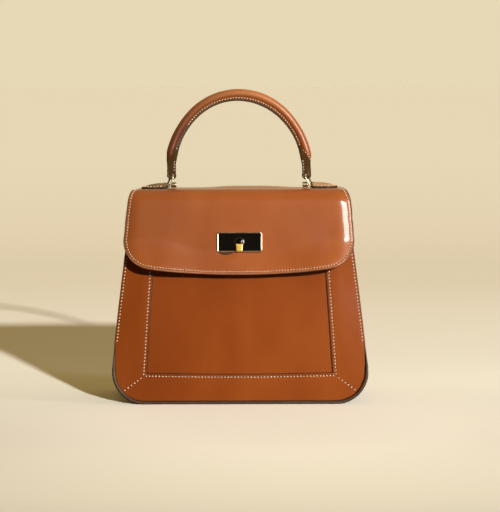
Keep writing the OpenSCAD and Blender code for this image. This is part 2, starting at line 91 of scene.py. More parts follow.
def lin(rgb):
    """A colour of 0 to 255 as linear light."""
    return tuple(((c / 255) / 12.92 if c <= 10 else ((c / 255 + 0.055) / 1.055) ** 2.4) for c in rgb) + (1.0,)


def coords(t):
    return t.nodes.new("ShaderNodeTexCoord").outputs["Object"]


def axes_of(t):
    """The object's own X, Y and Z, in metres."""
    split = t.nodes.new("ShaderNodeSeparateXYZ")
    t.links.new(coords(t), split.inputs[0])
    return split.outputs


def noise_node(t, scale, detail, rough=0.55, distort=0.0, stretch=None):
    n = t.nodes.new("ShaderNodeTexNoise")
    n.inputs["Scale"].default_value = scale
    n.inputs["Detail"].default_value = detail
    n.inputs["Roughness"].default_value = rough
    n.inputs["Distortion"].default_value = distort
    vec = coords(t)
    if stretch:
        mp = t.nodes.new("ShaderNodeMapping")
        mp.inputs["Scale"].default_value = stretch
        t.links.new(vec, mp.inputs["Vector"])
        vec = mp.outputs["Vector"]
    t.links.new(vec, n.inputs["Vector"])
    return n.outputs["Fac"]


def ramp(t, fac, stops):
    """A colour by value, from stops of (value, colour)."""
    r = t.nodes.new("ShaderNodeValToRGB")
    while len(r.color_ramp.elements) < len(stops):
        r.color_ramp.elements.new(0.5)
    for e, (pos, col) in zip(r.color_ramp.elements, stops):
        e.position = pos
        e.color = col if len(col) == 4 else lin(col)
    t.links.new(fac, r.inputs["Fac"])
    return r.outputs["Color"]


def mix(t, fac, a, b):
    """Colour a where fac is 0, colour b where it is 1. Each may be a value or another node's output."""
    n = t.nodes.new("ShaderNodeMix")
    n.data_type = "RGBA"
    for value, sock in ((fac, n.inputs[0]), (a, n.inputs[6]), (b, n.inputs[7])):
        if isinstance(value, (int, float)):
            sock.default_value = value
        elif isinstance(value, tuple):
            sock.default_value = value if len(value) == 4 else lin(value)
        else:
            t.links.new(value, sock)
    return n.outputs[2]


def remap(t, fac, lo, hi, a=0.0, b=1.0):
    """A value that goes from lo to hi while fac goes from a to b."""
    n = t.nodes.new("ShaderNodeMapRange")
    n.inputs["From Min"].default_value = a
    n.inputs["From Max"].default_value = b
    n.inputs["To Min"].default_value = lo
    n.inputs["To Max"].default_value = hi
    t.links.new(fac, n.inputs["Value"])
    return n.outputs["Result"]


def attribute(t, name):
    """A value stored on the mesh's points."""
    n = t.nodes.new("ShaderNodeAttribute")
    n.attribute_name = name
    return n.outputs["Fac"]


def bump(t, height, strength, distance, below=None):
    n = t.nodes.new("ShaderNodeBump")
    n.inputs["Strength"].default_value = strength
    n.inputs["Distance"].default_value = distance
    t.links.new(height, n.inputs["Height"])
    if below is not None:
        t.links.new(below, n.inputs["Normal"])
    return n.outputs["Normal"]


def pores(t, scale):
    """Small cells, for the leather's grain."""
    v = t.nodes.new("ShaderNodeTexVoronoi")
    v.inputs["Scale"].default_value = scale
    t.links.new(coords(t), v.inputs["Vector"])
    return v.outputs["Distance"]


def leather(name, dark, mid, light, edge, rough=(0.42, 0.52), coat=0.02, coat_rough=0.2,
            spec=0.02, wavy=0.3, deep=0.2, worn_and_sheen=None):
    """Smooth box leather: cloudy dye, fine pores, soft hollows, and its own colour along its cut edge, darker
    edge dye on most pieces and a paler painted highlight on the flap.
    deep is how much painted shade darkens it towards the left, and the last argument a paler colour high on
    the handle, a painted sheen from above."""
    m, t, b = tree(name)
    cloud = noise_node(t, 17, 3, 0.5, 0.4, (1.0, 1.0, 0.5))
    base = ramp(t, cloud, [(0.2, dark), (0.5, mid), (0.8, light)])
    fleck = noise_node(t, 900, 2, 0.5)
    base = mix(t, remap(t, fleck, 0.0, 0.10, 0.35, 0.75), base, edge)
    axes = axes_of(t)
    if worn_and_sheen:
        # Paler high on the handle: painted sheen from above.
        base = mix(t, remap(t, axes["Z"], 0.0, 0.8, *PAINTED_SHEEN_Z), base, worn_and_sheen)
    # Darker towards the left: painted shade.
    base = mix(t, remap(t, axes["X"], deep, 0.0, *PAINTED_SHADE_X), base, (0.0, 0.0, 0.0, 1))
    rim = attribute(t, "rim")
    base = mix(t, remap(t, rim, 0.0, 0.85), base, edge)
    t.links.new(base, b.inputs["Base Color"])
    smear = noise_node(t, 60, 3, 0.6, 0.8, (1.0, 1.0, 0.45))
    t.links.new(remap(t, smear, rough[0], rough[1], 0.3, 0.7), b.inputs["Roughness"])
    b.inputs["Specular IOR Level"].default_value = spec
    b.inputs["Coat Weight"].default_value = coat
    b.inputs["Coat Roughness"].default_value = coat_rough
    b.inputs["Coat IOR"].default_value = 1.45
    n = bump(t, noise_node(t, 14, 2, 0.5, 0.3), wavy, 0.0022)
    n = bump(t, noise_node(t, 75, 3, 0.6, 0.4), 0.22, 0.0006, n)
    n = bump(t, pores(t, 1500), 0.12, 0.00012, n)
    t.links.new(n, b.inputs["Normal"])
    return m


def edge_paint(name, colour, worn_and_sheen, upper=None):
    """Paint on a cut edge. upper is its colour on the flap's sides."""
    m, t, b = tree(name)
    n = noise_node(t, 130, 4, 0.6)
    base = ramp(t, n, [(0.3, colour), (0.75, worn_and_sheen)])
    if upper:
        base = mix(t, remap(t, axes_of(t)["Z"], 0.0, 1.0, *FLAP_EDGE_Z), base, upper)
    t.links.new(base, b.inputs["Base Color"])
    t.links.new(remap(t, noise_node(t, 300, 3), 0.38, 0.6), b.inputs["Roughness"])
    b.inputs["Specular IOR Level"].default_value = 0.18
    b.inputs["Coat Weight"].default_value = 0.02
    b.inputs["Coat Roughness"].default_value = 0.3
    t.links.new(bump(t, noise_node(t, 700, 3, 0.6, 0, (1, 1, 1)), 0.3, 0.0002), b.inputs["Normal"])
    return m


def thread(name, colour, shade):
    """Waxed thread with fine twisted strands."""
    m, t, b = tree(name)
    w = t.nodes.new("ShaderNodeTexWave")
    w.inputs["Scale"].default_value = 900
    w.inputs["Distortion"].default_value = 1.5
    t.links.new(coords(t), w.inputs["Vector"])
    t.links.new(ramp(t, w.outputs["Fac"], [(0.1, shade), (0.7, colour)]), b.inputs["Base Color"])
    b.inputs["Roughness"].default_value = 0.6
    b.inputs["Sheen Weight"].default_value = 0.25
    b.inputs["Sheen Roughness"].default_value = 0.4
    t.links.new(bump(t, w.outputs["Fac"], 0.4, 0.0001), b.inputs["Normal"])
    return m


def metal(name, colour, shade, rough=(0.14, 0.26), metallic=1.0):
    """Plated metal, cloudy in colour and finely brushed."""
    m, t, b = tree(name)
    n = noise_node(t, 90, 4, 0.6)
    t.links.new(ramp(t, n, [(0.3, shade), (0.7, colour)]), b.inputs["Base Color"])
    b.inputs["Metallic"].default_value = metallic
    fine = noise_node(t, 900, 3, 0.6, 0.0, (0.25, 1.0, 3.0))
    t.links.new(remap(t, fine, rough[0], rough[1], 0.3, 0.7), b.inputs["Roughness"])
    t.links.new(bump(t, fine, 0.08, 0.00006), b.inputs["Normal"])
    return m


def lacquer(name, colour, tint):
    """A dark mirror under a clear coat."""
    m, t, b = tree(name)
    n = noise_node(t, 45, 3, 0.55)
    t.links.new(ramp(t, n, [(0.3, colour), (0.8, tint)]), b.inputs["Base Color"])
    b.inputs["Metallic"].default_value = 0.85
    t.links.new(remap(t, noise_node(t, 200, 4, 0.6), 0.05, 0.14), b.inputs["Roughness"])
    b.inputs["Coat Weight"].default_value = 0.8
    b.inputs["Coat Roughness"].default_value = 0.04
    t.links.new(bump(t, noise_node(t, 30, 2, 0.5), 0.05, 0.0004), b.inputs["Normal"])
    return m


def suede(name, colour, shade):
    """Soft lining leather with a short nap."""
    m, t, b = tree(name)
    n = noise_node(t, 55, 5, 0.65, 1.0)
    base = ramp(t, n, [(0.25, shade), (0.75, colour)])
    nap = noise_node(t, 1600, 2, 0.6)
    t.links.new(mix(t, remap(t, nap, 0.0, 0.3), base, shade), b.inputs["Base Color"])
    b.inputs["Roughness"].default_value = 0.85
    b.inputs["Sheen Weight"].default_value = 0.35
    b.inputs["Sheen Roughness"].default_value = 0.45
    t.links.new(bump(t, nap, 0.35, 0.0002), b.inputs["Normal"])
    return m


# Each leather has a dark, a middle and a light dye, and the colour of its edge. The flap, handle and tab
# leathers are copies of the body's tan, painted lighter for the light they catch, and the flap's paler edge
# colour is a painted highlight along its border.
TAN = leather("tan_box_leather", (130, 59, 18), (141, 68, 22), (152, 77, 28), (74, 34, 14), wavy=0.2)
FLAP_TAN = leather("tan_flap_leather", (144, 71, 28), (157, 83, 35), (168, 94, 43), (150, 96, 62),
                   (0.38, 0.48), 0.5, 0.12, spec=0.09, deep=0.27)
# The handle is painted paler high on its arch, a painted sheen from above.
HANDLE_TAN = leather("tan_handle_leather", (140, 68, 27), (152, 78, 33), (164, 89, 42), (70, 50, 24),
                     (0.36, 0.46), 0.4, 0.34, spec=0.12, deep=1.0, worn_and_sheen=(184, 114, 64))
TAB_TAN = leather("tan_tab_leather", (178, 136, 98), (198, 156, 114), (212, 172, 130), (60, 36, 18),
                  (0.4, 0.5), 0.1, deep=0.9)
STRAP = leather("olive_strap_leather", (62, 42, 18), (76, 52, 24), (92, 66, 34), (36, 22, 10),
                (0.34, 0.48), 0.15)
PAINT = edge_paint("edge_paint_brown", (56, 33, 15), (86, 54, 28))
DARK_PAINT = edge_paint("edge_paint_dark", (42, 25, 9), (62, 38, 15))
# A paler paint for a thin line along the welts: a painted highlight.
WELT_HIGHLIGHT_PAINT = edge_paint("welt_painted_highlight", (84, 58, 36), (116, 84, 56))
FLAP_PAINT = edge_paint("edge_paint_flap", (140, 88, 56), (168, 112, 78), (78, 50, 22))
# Needle holes are flat dark discs: the hole's darkness is painted shade.
HOLE_SHADE = edge_paint("needle_hole_shade", (38, 16, 8), (50, 24, 12))
THREAD = thread("waxed_thread", (240, 216, 186), (206, 168, 130))
# A dark thread for stitches on the handle's left leg: painted shade.
SHADED_THREAD = thread("thread_painted_shade", (78, 56, 36), (54, 38, 24))
GOLD = metal("polished_gold", (226, 188, 96), (196, 152, 66))
PALE_GOLD = metal("pale_gold", (196, 180, 148), (140, 124, 92), (0.24, 0.36))
ROSE_GOLD = metal("rose_gold", (236, 198, 160), (204, 160, 120))
BRIGHT_GOLD = metal("satin_gold", (240, 200, 112), (216, 168, 78), (0.2, 0.32), 0.4)
# The links' two metals are one metal, painted dark for shade on the back half of each ring and pale for light
# on its front half.
LINK_SHADED_GOLD = metal("link_gold_painted_shade", (84, 70, 40), (52, 40, 20), (0.28, 0.42), 0.8)
LINK_LIT_GOLD = metal("link_gold_painted_light", (206, 196, 170), (160, 148, 118), (0.3, 0.42), 0.8)
CHROME_DARK = metal("black_chrome", (48, 46, 46), (26, 25, 26), (0.1, 0.18))
CHROME = metal("dark_chrome", (150, 142, 128), (104, 98, 88), (0.08, 0.16))
BLACK = lacquer("black_mirror", (10, 10, 14), (22, 22, 28))
LINING = suede("suede_lining", (150, 104, 66), (112, 74, 46))


# Meshes

def smoothstep(t):
    t = min(max(t, 0.0), 1.0)
    return t * t * (3 - 2 * t)


def make(name, verts, faces, material, body, replaces=(), rim=None):
    """A mesh piece from points in millimetres."""
    mesh = bpy.data.meshes.new(name)
    mesh.from_pydata([(p[0] * MM, p[1] * MM, p[2] * MM) for p in verts], [], faces)
    if rim is not None:
        a = mesh.attributes.new("rim", "FLOAT", "POINT")
        a.data.foreach_set("value", [float(r) for r in rim])
    mesh.validate()
    if not name.startswith("needle_hole_shade"):
        bm = bmesh.new()
        bm.from_mesh(mesh)
        bmesh.ops.recalc_face_normals(bm, faces=bm.faces)
        bm.to_mesh(mesh)
        bm.free()
    mesh.update()
    mesh.shade_smooth()
    obj = bpy.data.objects.new(name, mesh)
    bpy.context.collection.objects.link(obj)
    mesh.materials.append(material)
    if body:
        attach(obj, body)
    if replaces:
        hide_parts(*replaces)
    return obj


def grid_faces(rows, cols, start=0, flip=False, wrap=False):
    """Faces of a grid of points, which start at that index. wrap joins its last column to its first."""
    faces = []
    for i in range(rows - 1):
        for j in range(cols if wrap else cols - 1):
            k = (j + 1) % cols
            a, b, c, d = (start + i * cols + j, start + i * cols + k,
                          start + (i + 1) * cols + k, start + (i + 1) * cols + j)
            faces.append((d, c, b, a) if flip else (a, b, c, d))
    return faces


def tube_faces(rows, cols, start=0):
    """Faces of a row of rings, with both ends closed."""
    last = start + (rows - 1) * cols
    ends = [tuple(range(start + cols - 1, start - 1, -1)), tuple(range(last, last + cols))]
    return grid_faces(rows, cols, start, False, True) + ends


def slab_faces(rows, n, hollow=False):
    """Faces of a slab: rows of n points from its middle out, first above, then below."""
    m, last = rows * n, (rows - 1) * n
    faces = grid_faces(rows, n, 0, False, True) + grid_faces(rows, n, m, True, True)
    for k in range(n):
        j = (k + 1) % n
        faces.append((last + k, last + j, m + last + j, m + last + k))
        if hollow:
            faces.append((k, m + k, m + j, j))
    return faces


def border(rows, cols):
    """Indices round a grid, in order."""
    ring = list(range(cols))
    ring += [i * cols + cols - 1 for i in range(1, rows)]
    ring += [(rows - 1) * cols + j for j in range(cols - 2, -1, -1)]
    ring += [i * cols for i in range(rows - 2, 0, -1)]
    return ring


def closed_sheet(name, top, low, material, body, replaces=(), rim=None):
    """A closed sheet between two grids of the same size. top and low are arrays [rows, cols, 3]."""
    rows, cols = top.shape[:2]
    n = rows * cols
    verts = [tuple(p) for p in top.reshape(-1, 3)] + [tuple(p) for p in low.reshape(-1, 3)]
    faces = grid_faces(rows, cols) + grid_faces(rows, cols, n, True)
    ring = border(rows, cols)
    for a, b in zip(ring, ring[1:] + ring[:1]):
        faces.append((a, b, b + n, a + n))
    shade = None
    if rim is not None:
        shade = list(rim.reshape(-1)) + [1.0] * n
    return make(name, verts, faces, material, body, replaces, shade)


def resample(points, count=None, at=None):
    """Points along a polyline at equal steps, or at the given shares of its length."""
    p = np.array(points, float)
    seg = np.linalg.norm(np.diff(p, axis=0), axis=1)
    s = np.concatenate([[0], np.cumsum(seg)])
    at = np.linspace(0, 1, count) if at is None else np.asarray(at)
    return np.stack([np.interp(at * s[-1], s, p[:, k]) for k in range(p.shape[1])], axis=1)


def length(points):
    p = np.array(points, float)
    return float(np.linalg.norm(np.diff(p, axis=0), axis=1).sum())


def coons(left, right, low, high, us, vs):
    """Patch between four curves. left and right run from low to high, low and high from left to right."""
    left, right = resample(left, at=vs), resample(right, at=vs)
    low, high = resample(low, at=us), resample(high, at=us)
    u, v = np.asarray(us)[None, :, None], np.asarray(vs)[:, None, None]
    ruled = (1 - u) * left[:, None] + u * right[:, None] + (1 - v) * low[None] + v * high[None]
    corners = (1 - u) * (1 - v) * low[0] + u * (1 - v) * low[-1] + (1 - u) * v * high[0] + u * v * high[-1]
    return ruled - corners


EDGE_STEPS = (0, 0.12, 0.3, 0.55, 0.9, 1.4, 2.0, 2.5, 2.9, 3.25, 3.6, 3.95, 4.3, 4.8, 5.6, 7.0)


def edge_shares(span, step, ends=(True, True)):
    """Shares of a span in millimetres with close rows near its ends."""
    a = [s / span for s in EDGE_STEPS] if ends[0] else [0.0]
    b = [1 - s / span for s in reversed(EDGE_STEPS)] if ends[1] else [1.0]
    n = max(2, int(round((b[0] - a[-1]) * span / step)) + 1)
    return np.array(a + list(np.linspace(a[-1], b[0], n)[1:-1]) + b)


def distance(points, line):
    """Distance of each 2-D point from a polyline."""
    p = np.asarray(points).reshape(-1, 2)
    q = np.asarray(line, float)
    a, b = q[:-1], q[1:]
    d = b - a
    best = np.full(len(p), 1e9)
    for k in range(len(a)):
        w = p - a[k]
        t = np.clip((w @ d[k]) / max(d[k] @ d[k], 1e-9), 0, 1)
        best = np.minimum(best, np.linalg.norm(w - t[:, None] * d[k], axis=1))
    return best.reshape(np.asarray(points).shape[:-1])


def rounded(d, thick, r):
    """Height of a cut edge that is rounded over r millimetres."""
    t = np.clip(d / r, 0, 1)
    return thick * (0.35 + 0.65 * np.sqrt(1 - (1 - t) ** 2))


def plateau(d, at, width):
    """1 at a distance from an edge, falling to 0 that width to either side."""
    return np.clip(1 - ((d - at) / width) ** 2, 0, 1)


def groove(d, at, width=0.75, depth=0.35):
    """A soft groove at a distance from an edge."""
    return -depth * np.exp(-((d - at) / width) ** 2)


def sweep(name, path, profile, normals, material, body, replaces=(), closed=False, scale=None):
    """A closed tube of a 2-D profile along a path. normals give the profile's second axis."""
    line = np.array(path, float)
    n, k = len(line), len(profile)
    along = np.roll(line, -1, 0) - np.roll(line, 1, 0) if closed else np.gradient(line, axis=0)
    along /= np.linalg.norm(along, axis=1)[:, None]
    up = np.array(normals, float)
    up = up - (up * along).sum(1)[:, None] * along
    up /= np.linalg.norm(up, axis=1)[:, None]
    across = np.cross(along, up)
    verts = []
    for i in range(n):
        size = 1.0 if scale is None else scale[i]
        verts += [tuple(line[i] + across[i] * a * size + up[i] * b * size) for a, b in profile]
    if closed:
        faces = grid_faces(n, k, 0, False, True)
        faces += [((n - 1) * k + j, (n - 1) * k + (j + 1) % k, (j + 1) % k, j) for j in range(k)]
    else:
        faces = tube_faces(n, k)
    return make(name, verts, faces, material, body, replaces, [0.0] * len(verts))


def oval(a, b, n, square=1.0):
    """Profile points round an oval. square under 1 makes it boxier."""
    out = []
    for i in range(n):
        w = 2 * math.pi * i / n
        c, s = math.cos(w), math.sin(w)
        out.append((a * math.copysign(abs(c) ** square, c), b * math.copysign(abs(s) ** square, s)))
    return out


def ring_of(c, a, b, ra, rb, count):
    """Points round an oval about c, ra along a and rb along b."""
    turn = [2 * math.pi * j / count for j in range(count)]
    return [tuple(c + a * (ra * math.cos(q)) + b * (rb * math.sin(q))) for q in turn]


# Rings and sides of a stitch, sides of a needle hole, and how high it lies on the leather
STITCH_RINGS, STITCH_SIDES, HOLE_SIDES, HOLE_LIFT = 5, 7, 8, 0.1


def stitches(name, seams, body, pitch=2.95, long=1.75, r=0.42, rise=0.3, slant=0.3, material=None, hole=0.52):
    """Waxed stitches along seams, each a bent capsule whose ends sink into the leather, with a flat dark disc
    before it for its needle hole, the hole's darkness painted shade. A seam is (points, normals), and its
    normals are given at equal steps."""
    verts, faces, hole_verts, hole_faces = [], [], [], []
    for points, normals in seams:
        total = length(points)
        count = max(1, int(total / pitch))
        at = (np.arange(count) + 0.5) / count
        middle = resample(points, at=at)
        ahead = resample(points, at=np.clip(at + 0.5 / total, 0, 1))
        behind = resample(points, at=np.clip(at - 0.5 / total, 0, 1))
        for m, t, n in zip(middle, ahead - behind, resample(np.array(normals, float), at=at)):
            t = t / np.linalg.norm(t)
            n = n - (n @ t) * t
            n = n / np.linalg.norm(n)
            b = np.cross(t, n)
            turn = slant + random.uniform(-0.05, 0.05)
            t, b = t * math.cos(turn) + b * math.sin(turn), b * math.cos(turn) - t * math.sin(turn)
            size = random.uniform(0.94, 1.06)
            c = m - t * pitch / 2 + n * HOLE_LIFT
            base = len(hole_verts)
            hole_verts += [tuple(c + n * HOLE_LIFT / 2)] + ring_of(c, t, b, hole, hole * 0.9, HOLE_SIDES)
            hole_faces += [(base, base + 1 + j, base + 1 + (j + 1) % HOLE_SIDES) for j in range(HOLE_SIDES)]
            faces += tube_faces(STITCH_RINGS, STITCH_SIDES, len(verts))
            for w in np.linspace(-1, 1, STITCH_RINGS):
                thick = r * (1 - 0.45 * w * w) * size
                c = m + t * (w * long / 2 * size) + n * (rise * (1 - 1.5 * w * w))
                verts += ring_of(c, b, n, thick, thick, STITCH_SIDES)
    holes_name = name.replace("stitches", "needle_hole_shade")
    return [make(name, verts, faces, material or THREAD, body),
            make(holes_name, hole_verts, hole_faces, HOLE_SHADE, body)]


# Body

# Soft form of the body: its edges roll in, its middle swells, and the front is pressed in by the flap
EDGE_ROLL, EDGE_ROLL_W = 3.0, 40.0
SWELL, SWELL_HALF = 1.2, 118.0
HOLLOW, HOLLOW_Z, HOLLOW_R = 2.8, 126.0, 30.0
SIDE_SWELL, SIDE_SWELL_Z = 0.8, (30.0, 200.0)


def side(z, out=0.0):
    """Half the bag's width at height z."""
    low, high = SIDE_SWELL_Z
    full = SIDE_SWELL * math.sin(math.pi * min(max((z - low) / (high - low), 0), 1))
    return (SIDE_REACH + out - SIDE_SIN * z) / SIDE_COS + full


def face(x, z, level, back=1):
    """A point on the front, or with back=-1 on the back: the leather's flat plus its soft form."""
    e = max(0.0, side(z) - abs(x))
    roll = EDGE_ROLL * max(0.0, 1 - e / EDGE_ROLL_W) ** 2 * (0.12 + 0.88 * smoothstep((z - 6) / 80))
    middle = math.cos(math.pi / 2 * min(1, abs(x) / SWELL_HALF)) ** 2
    swell = SWELL * math.sin(math.pi * min(max(z / RIM_Z, 0), 1)) ** 0.8 * middle
    if back > 0:
        swell -= HOLLOW * math.exp(-((z - HOLLOW_Z) / HOLLOW_R) ** 2)
    y = BASE_HALF - z * LEAN + level / COS + swell - roll
    return (x, -back * y, z)


def face_normal(x, z, back):
    """The outward normal of the front or back."""
    h = 1.5
    a = np.array(face(x + h, z, 0, back)) - np.array(face(x - h, z, 0, back))
    b = np.array(face(x, z + h, 0, back)) - np.array(face(x, z - h, 0, back))
    n = np.cross(a, b)
    n /= np.linalg.norm(n)
    return n if n[1] * -back > 0 else -n


def foot_inset(z, deep):
    """How far the leather stops inside the outline: beside the welt low down, at the edge above it."""
    return deep * min(max((FOOT_END - z) / FOOT_RUN, 0.0), 1.0) ** 0.8


def outline(deep, top, extra=0.0):
    """Right top, round the foot, to left top, as (x, z). deep is the inset beside the welt."""
    pts = []
    z_turn = CORNER[1] + CORNER_R * SIDE_SIN
    for z in np.linspace(top, z_turn, int((top - z_turn) / 2.0) + 1):
        pts.append((side(z, -foot_inset(z, deep) - extra), z))
    r = CORNER_R - deep - extra
    for w in np.linspace(TILT, -math.pi / 2, 30)[1:]:
        pts.append((CORNER[0] + r * math.cos(w), CORNER[1] + r * math.sin(w)))
    half = list(pts)
    z0 = pts[-1][1]
    mid = [(x, z0) for x in np.linspace(CORNER[0], -CORNER[0], 60)[1:-1]]
    return half + mid + [(-x, z) for x, z in reversed(half)]


def on_face(points, level, back=1):
    """Points of (x, z) at a level over the front or back."""
    return np.array([face(x, z, level, back) for x, z in points])


def normals_on(points, back=1):
    return np.array([face_normal(x, z, back) for x, z in points])


def lifted(grid, heights, back):
    """A grid of (x, z) put on the front or back at a height for each point."""
    rows, cols = heights.shape
    out = np.zeros((rows, cols, 3))
    for i in range(rows):
        for j in range(cols):
            out[i, j] = face(grid[i, j, 0], grid[i, j, 1], heights[i, j], back)
    return out


# The frame strips: inner edge, distance of the stitches from it, and the fall of the mitre seams
INNER_TOP, INNER_SPLAY = 83.79, 0.06467
Z_IN, SAG_IN = 32.0, 1.3


def inner_edge(z):
    """Half the width between the strips' inner edges at height z."""
    return INNER_TOP + (RIM_Z - z) * INNER_SPLAY


CORNER_IN = (inner_edge(Z_IN), Z_IN)
SEW = 2.95
MITRE = math.radians(-38)
WELT_W = 3.1
WELT_IN = WELT_W + 0.15
STRIP_R = CORNER_R - WELT_IN
EDGE_FADE = 0.45


def mitre_end():
    """Where the mitre seam meets the strips' outer edge, in steps along the seam."""
    run = 5.0
    while True:
        p = (CORNER_IN[0] + math.cos(MITRE) * run, CORNER_IN[1] + math.sin(MITRE) * run)
        if math.hypot(p[0] - CORNER[0], p[1] - CORNER[1]) >= STRIP_R and p[1] < CORNER[1]:
            return p
        run += 0.05


SEAM_END = mitre_end()
seam_angle = math.atan2(SEAM_END[1] - CORNER[1], SEAM_END[0] - CORNER[0])


def mirrored(grid):
    """A grid of (x, z) on the other side of the bag's middle."""
    g = grid.copy()
    g[..., 0] *= -1
    return g


def foot_arc(start, end, count):
    """Points on the strips' round outer corner."""
    return [(CORNER[0] + STRIP_R * math.cos(w), CORNER[1] + STRIP_R * math.sin(w))
            for w in np.linspace(start, end, count)]


# The strip's outer edge from the mitre up, and the bottom strip's outer edge between the mitres
strip_out = foot_arc(seam_angle, TILT, 26)
strip_out += [(side(z, -foot_inset(z, WELT_IN)), z) for z in np.linspace(CORNER[1] + 4.5, RIM_Z, 90)]
half = foot_arc(seam_angle, -math.pi / 2, 22)
bottom_out = half + [(x, half[-1][1]) for x in np.linspace(CORNER[0], -CORNER[0], 60)[1:-1]]
bottom_out = (bottom_out + [(-x, z) for x, z in reversed(half)])[::-1]

def strip_relief(d_edge, d_in, d_mitre):
    """Height over a strip: rounded at its cut edges, with grooves at the stitches and the mitre."""
    return rounded(d_edge, LEATHER, 0.7) + groove(d_in, SEW) + groove(d_mitre, 0.0, 0.6, 0.12)


def leather_panel(name, flat, top, low, replaced, shade, back=1):
    """Tan leather on the front or back, between two heights over its flat."""
    closed_sheet(name, lifted(flat, top, back), lifted(flat, np.zeros_like(top) + low, back), TAN, "body",
                 replaced, shade)


strip_in = [(inner_edge(z), z) for z in np.linspace(Z_IN, RIM_Z, 60)]
mitre = [CORNER_IN, SEAM_END]
strip_top = [(inner_edge(RIM_Z), RIM_Z), (side(RIM_Z), RIM_Z)]
flat = coons(strip_in, strip_out, mitre, strip_top, edge_shares(36, 3.0), edge_shares(182, 5.0))
d_in, d_out = distance(flat, strip_in), distance(flat, strip_out)
d_edge = np.minimum(d_in, d_out)
relief = strip_relief(d_edge, d_in, distance(flat, mitre))
relief += groove(d_out, 2.3, 0.6, 0.25) * (flat[..., 1] > 60) + 0.25 * plateau(d_in, 9, 8)
for name, sign in SIDES:
    leather_panel("front_strip_" + name, flat if sign > 0 else mirrored(flat), relief, -PAD_GAP,
                  ["frame_" + name], np.exp(-d_edge / EDGE_FADE))

# Bottom strip, its upper edge sagging a little between the mitres
bottom_in = [(x, Z_IN - SAG_IN * (1 - (x / CORNER_IN[0]) ** 2))
             for x in np.linspace(-CORNER_IN[0], CORNER_IN[0], 60)]
left_mitre = [(-SEAM_END[0], SEAM_END[1]), (-CORNER_IN[0], CORNER_IN[1])]
right_mitre = [SEAM_END, CORNER_IN]
flat = coons(left_mitre, right_mitre, bottom_out, bottom_in, edge_shares(195, 5.0), edge_shares(27, 3.0))
d_in, d_out = distance(flat, bottom_in), distance(flat, bottom_out)
d_edge = np.minimum(d_in, d_out)
d_mitre = np.minimum(distance(flat, left_mitre), distance(flat, right_mitre))
relief = strip_relief(d_edge, d_in, d_mitre) + 0.2 * plateau(d_in, 12, 9)
leather_panel("front_strip_bottom", flat, relief, -PAD_GAP, ["frame_bottom"], np.exp(-d_edge / EDGE_FADE))

# The recessed centre panel runs under the strips. Its leather lies lower beside their cut edges.
PANEL_LAP, PANEL_FOOT = 7, 24
even = np.linspace(0, 1, 60)
right = [(inner_edge(z) + PANEL_LAP, z) for z in np.linspace(PANEL_FOOT, RIM_Z, 40)]
left = [(-x, z) for x, z in right]
flat = coons(left, right, [left[0], right[0]], [left[-1], right[-1]], even, even)
open_edge = [(-inner_edge(z), z) for z in np.linspace(RIM_Z, Z_IN, 60)] + bottom_in
open_edge += [(inner_edge(z), z) for z in np.linspace(Z_IN, RIM_Z, 60)]
sunk = -0.12 * np.exp(-(distance(flat, open_edge) / 5.0) ** 2)
leather_panel("front_centre_panel", flat, sunk - PAD_GAP, sunk - 1.4, ["centre_panel", "front_board"],
              np.zeros_like(sunk))

# Painted cut edges of the strips, just outside the leather
EDGE_OUT = 0.1
left_in = [(-x, z) for x, z in strip_in]
inner_lines = (("bottom", bottom_in, (0, 1)), ("right", strip_in, (-1, 0)), ("left", left_in, (1, 0)))
for name, line, grow in inner_lines:
    pts = resample([(x + grow[0] * EDGE_OUT, z + grow[1] * EDGE_OUT) for x, z in line], 120)
    sweep("strip_edge_" + name, on_face(pts, 0.72), oval(0.34, 0.78, 10, 0.8), normals_on(pts), DARK_PAINT,
          "body")

# Back panel: one piece of leather, stitched round its edge
BACK_TOP, BACK_SEW = 214.0, 3.4
back_ring = outline(WELT_IN, BACK_TOP)
right = [p for p in back_ring if p[0] >= 0][::-1]
centre = [(0.0, z) for z in np.linspace(right[0][1], BACK_TOP, 40)]
cut = max((i for i in range(len(right)) if right[i][1] < 40), key=lambda i: right[i][0] - right[i][1])
foot, flank = right[:cut + 1], right[cut:]
flat = coons(centre, flank, foot, [centre[-1], flank[-1]], edge_shares(115, 6.0, (False, True)),
             edge_shares(200, 6.0))
flat = np.concatenate([mirrored(flat)[:, :0:-1], flat], axis=1)
d_edge = distance(flat, back_ring)
relief = rounded(d_edge, LEATHER, 0.7) + groove(d_edge, BACK_SEW, 0.65, 0.3) + 0.15 * plateau(d_edge, 9, 8)
leather_panel("back_leather", flat, relief - LEATHER, -3.0, ["back_panel", "back_board"],
              np.exp(-d_edge / EDGE_FADE), -1)


# Welts: a painted cord of leather round the foot, front and back
def welt_path(back, share, level, top=FOOT_END + 2.0):
    """Its points, normals and width: it narrows to nothing up the sides."""
    pts = resample(outline(WELT_W * share, top), 260)
    wide = [max(0.12, foot_inset(z, 1.0)) for x, z in pts]
    pts = [(x + 0.5 * w * smoothstep(abs(x) / 90), z) for (x, z), w in zip(pts, wide)]
    return on_face(pts, level, back), normals_on(pts, back), wide


for name, back in PANELS:
    path, up, taper = welt_path(back, 0.5, 0.25)
    sweep(name + "_welt_leather", path, oval(WELT_W / 2 + 0.35, 2.05, 16, 0.75), up, DARK_PAINT, "body",
          [name + "_welt"], scale=taper)
    # A thin pale line along each welt: a painted highlight on its rounded top.
    path, up, taper = welt_path(back, 0.42, 2.1, FOOT_END - 12)
    sweep(name + "_welt_highlight_line", path, oval(0.3, 0.28, 8), up, WELT_HIGHLIGHT_PAINT, "body", scale=taper)


def front_and_back(x, z, level):
    """The y of the front and of the back at a level under their leather's flat."""
    return face(x, z, level)[1], face(x, z, level, -1)[1]


# Gussets: they fall inward between the panels, with a soft crease towards the mouth
GUSSET_LEVEL, BASE_LEVEL = -1.5, -1.3


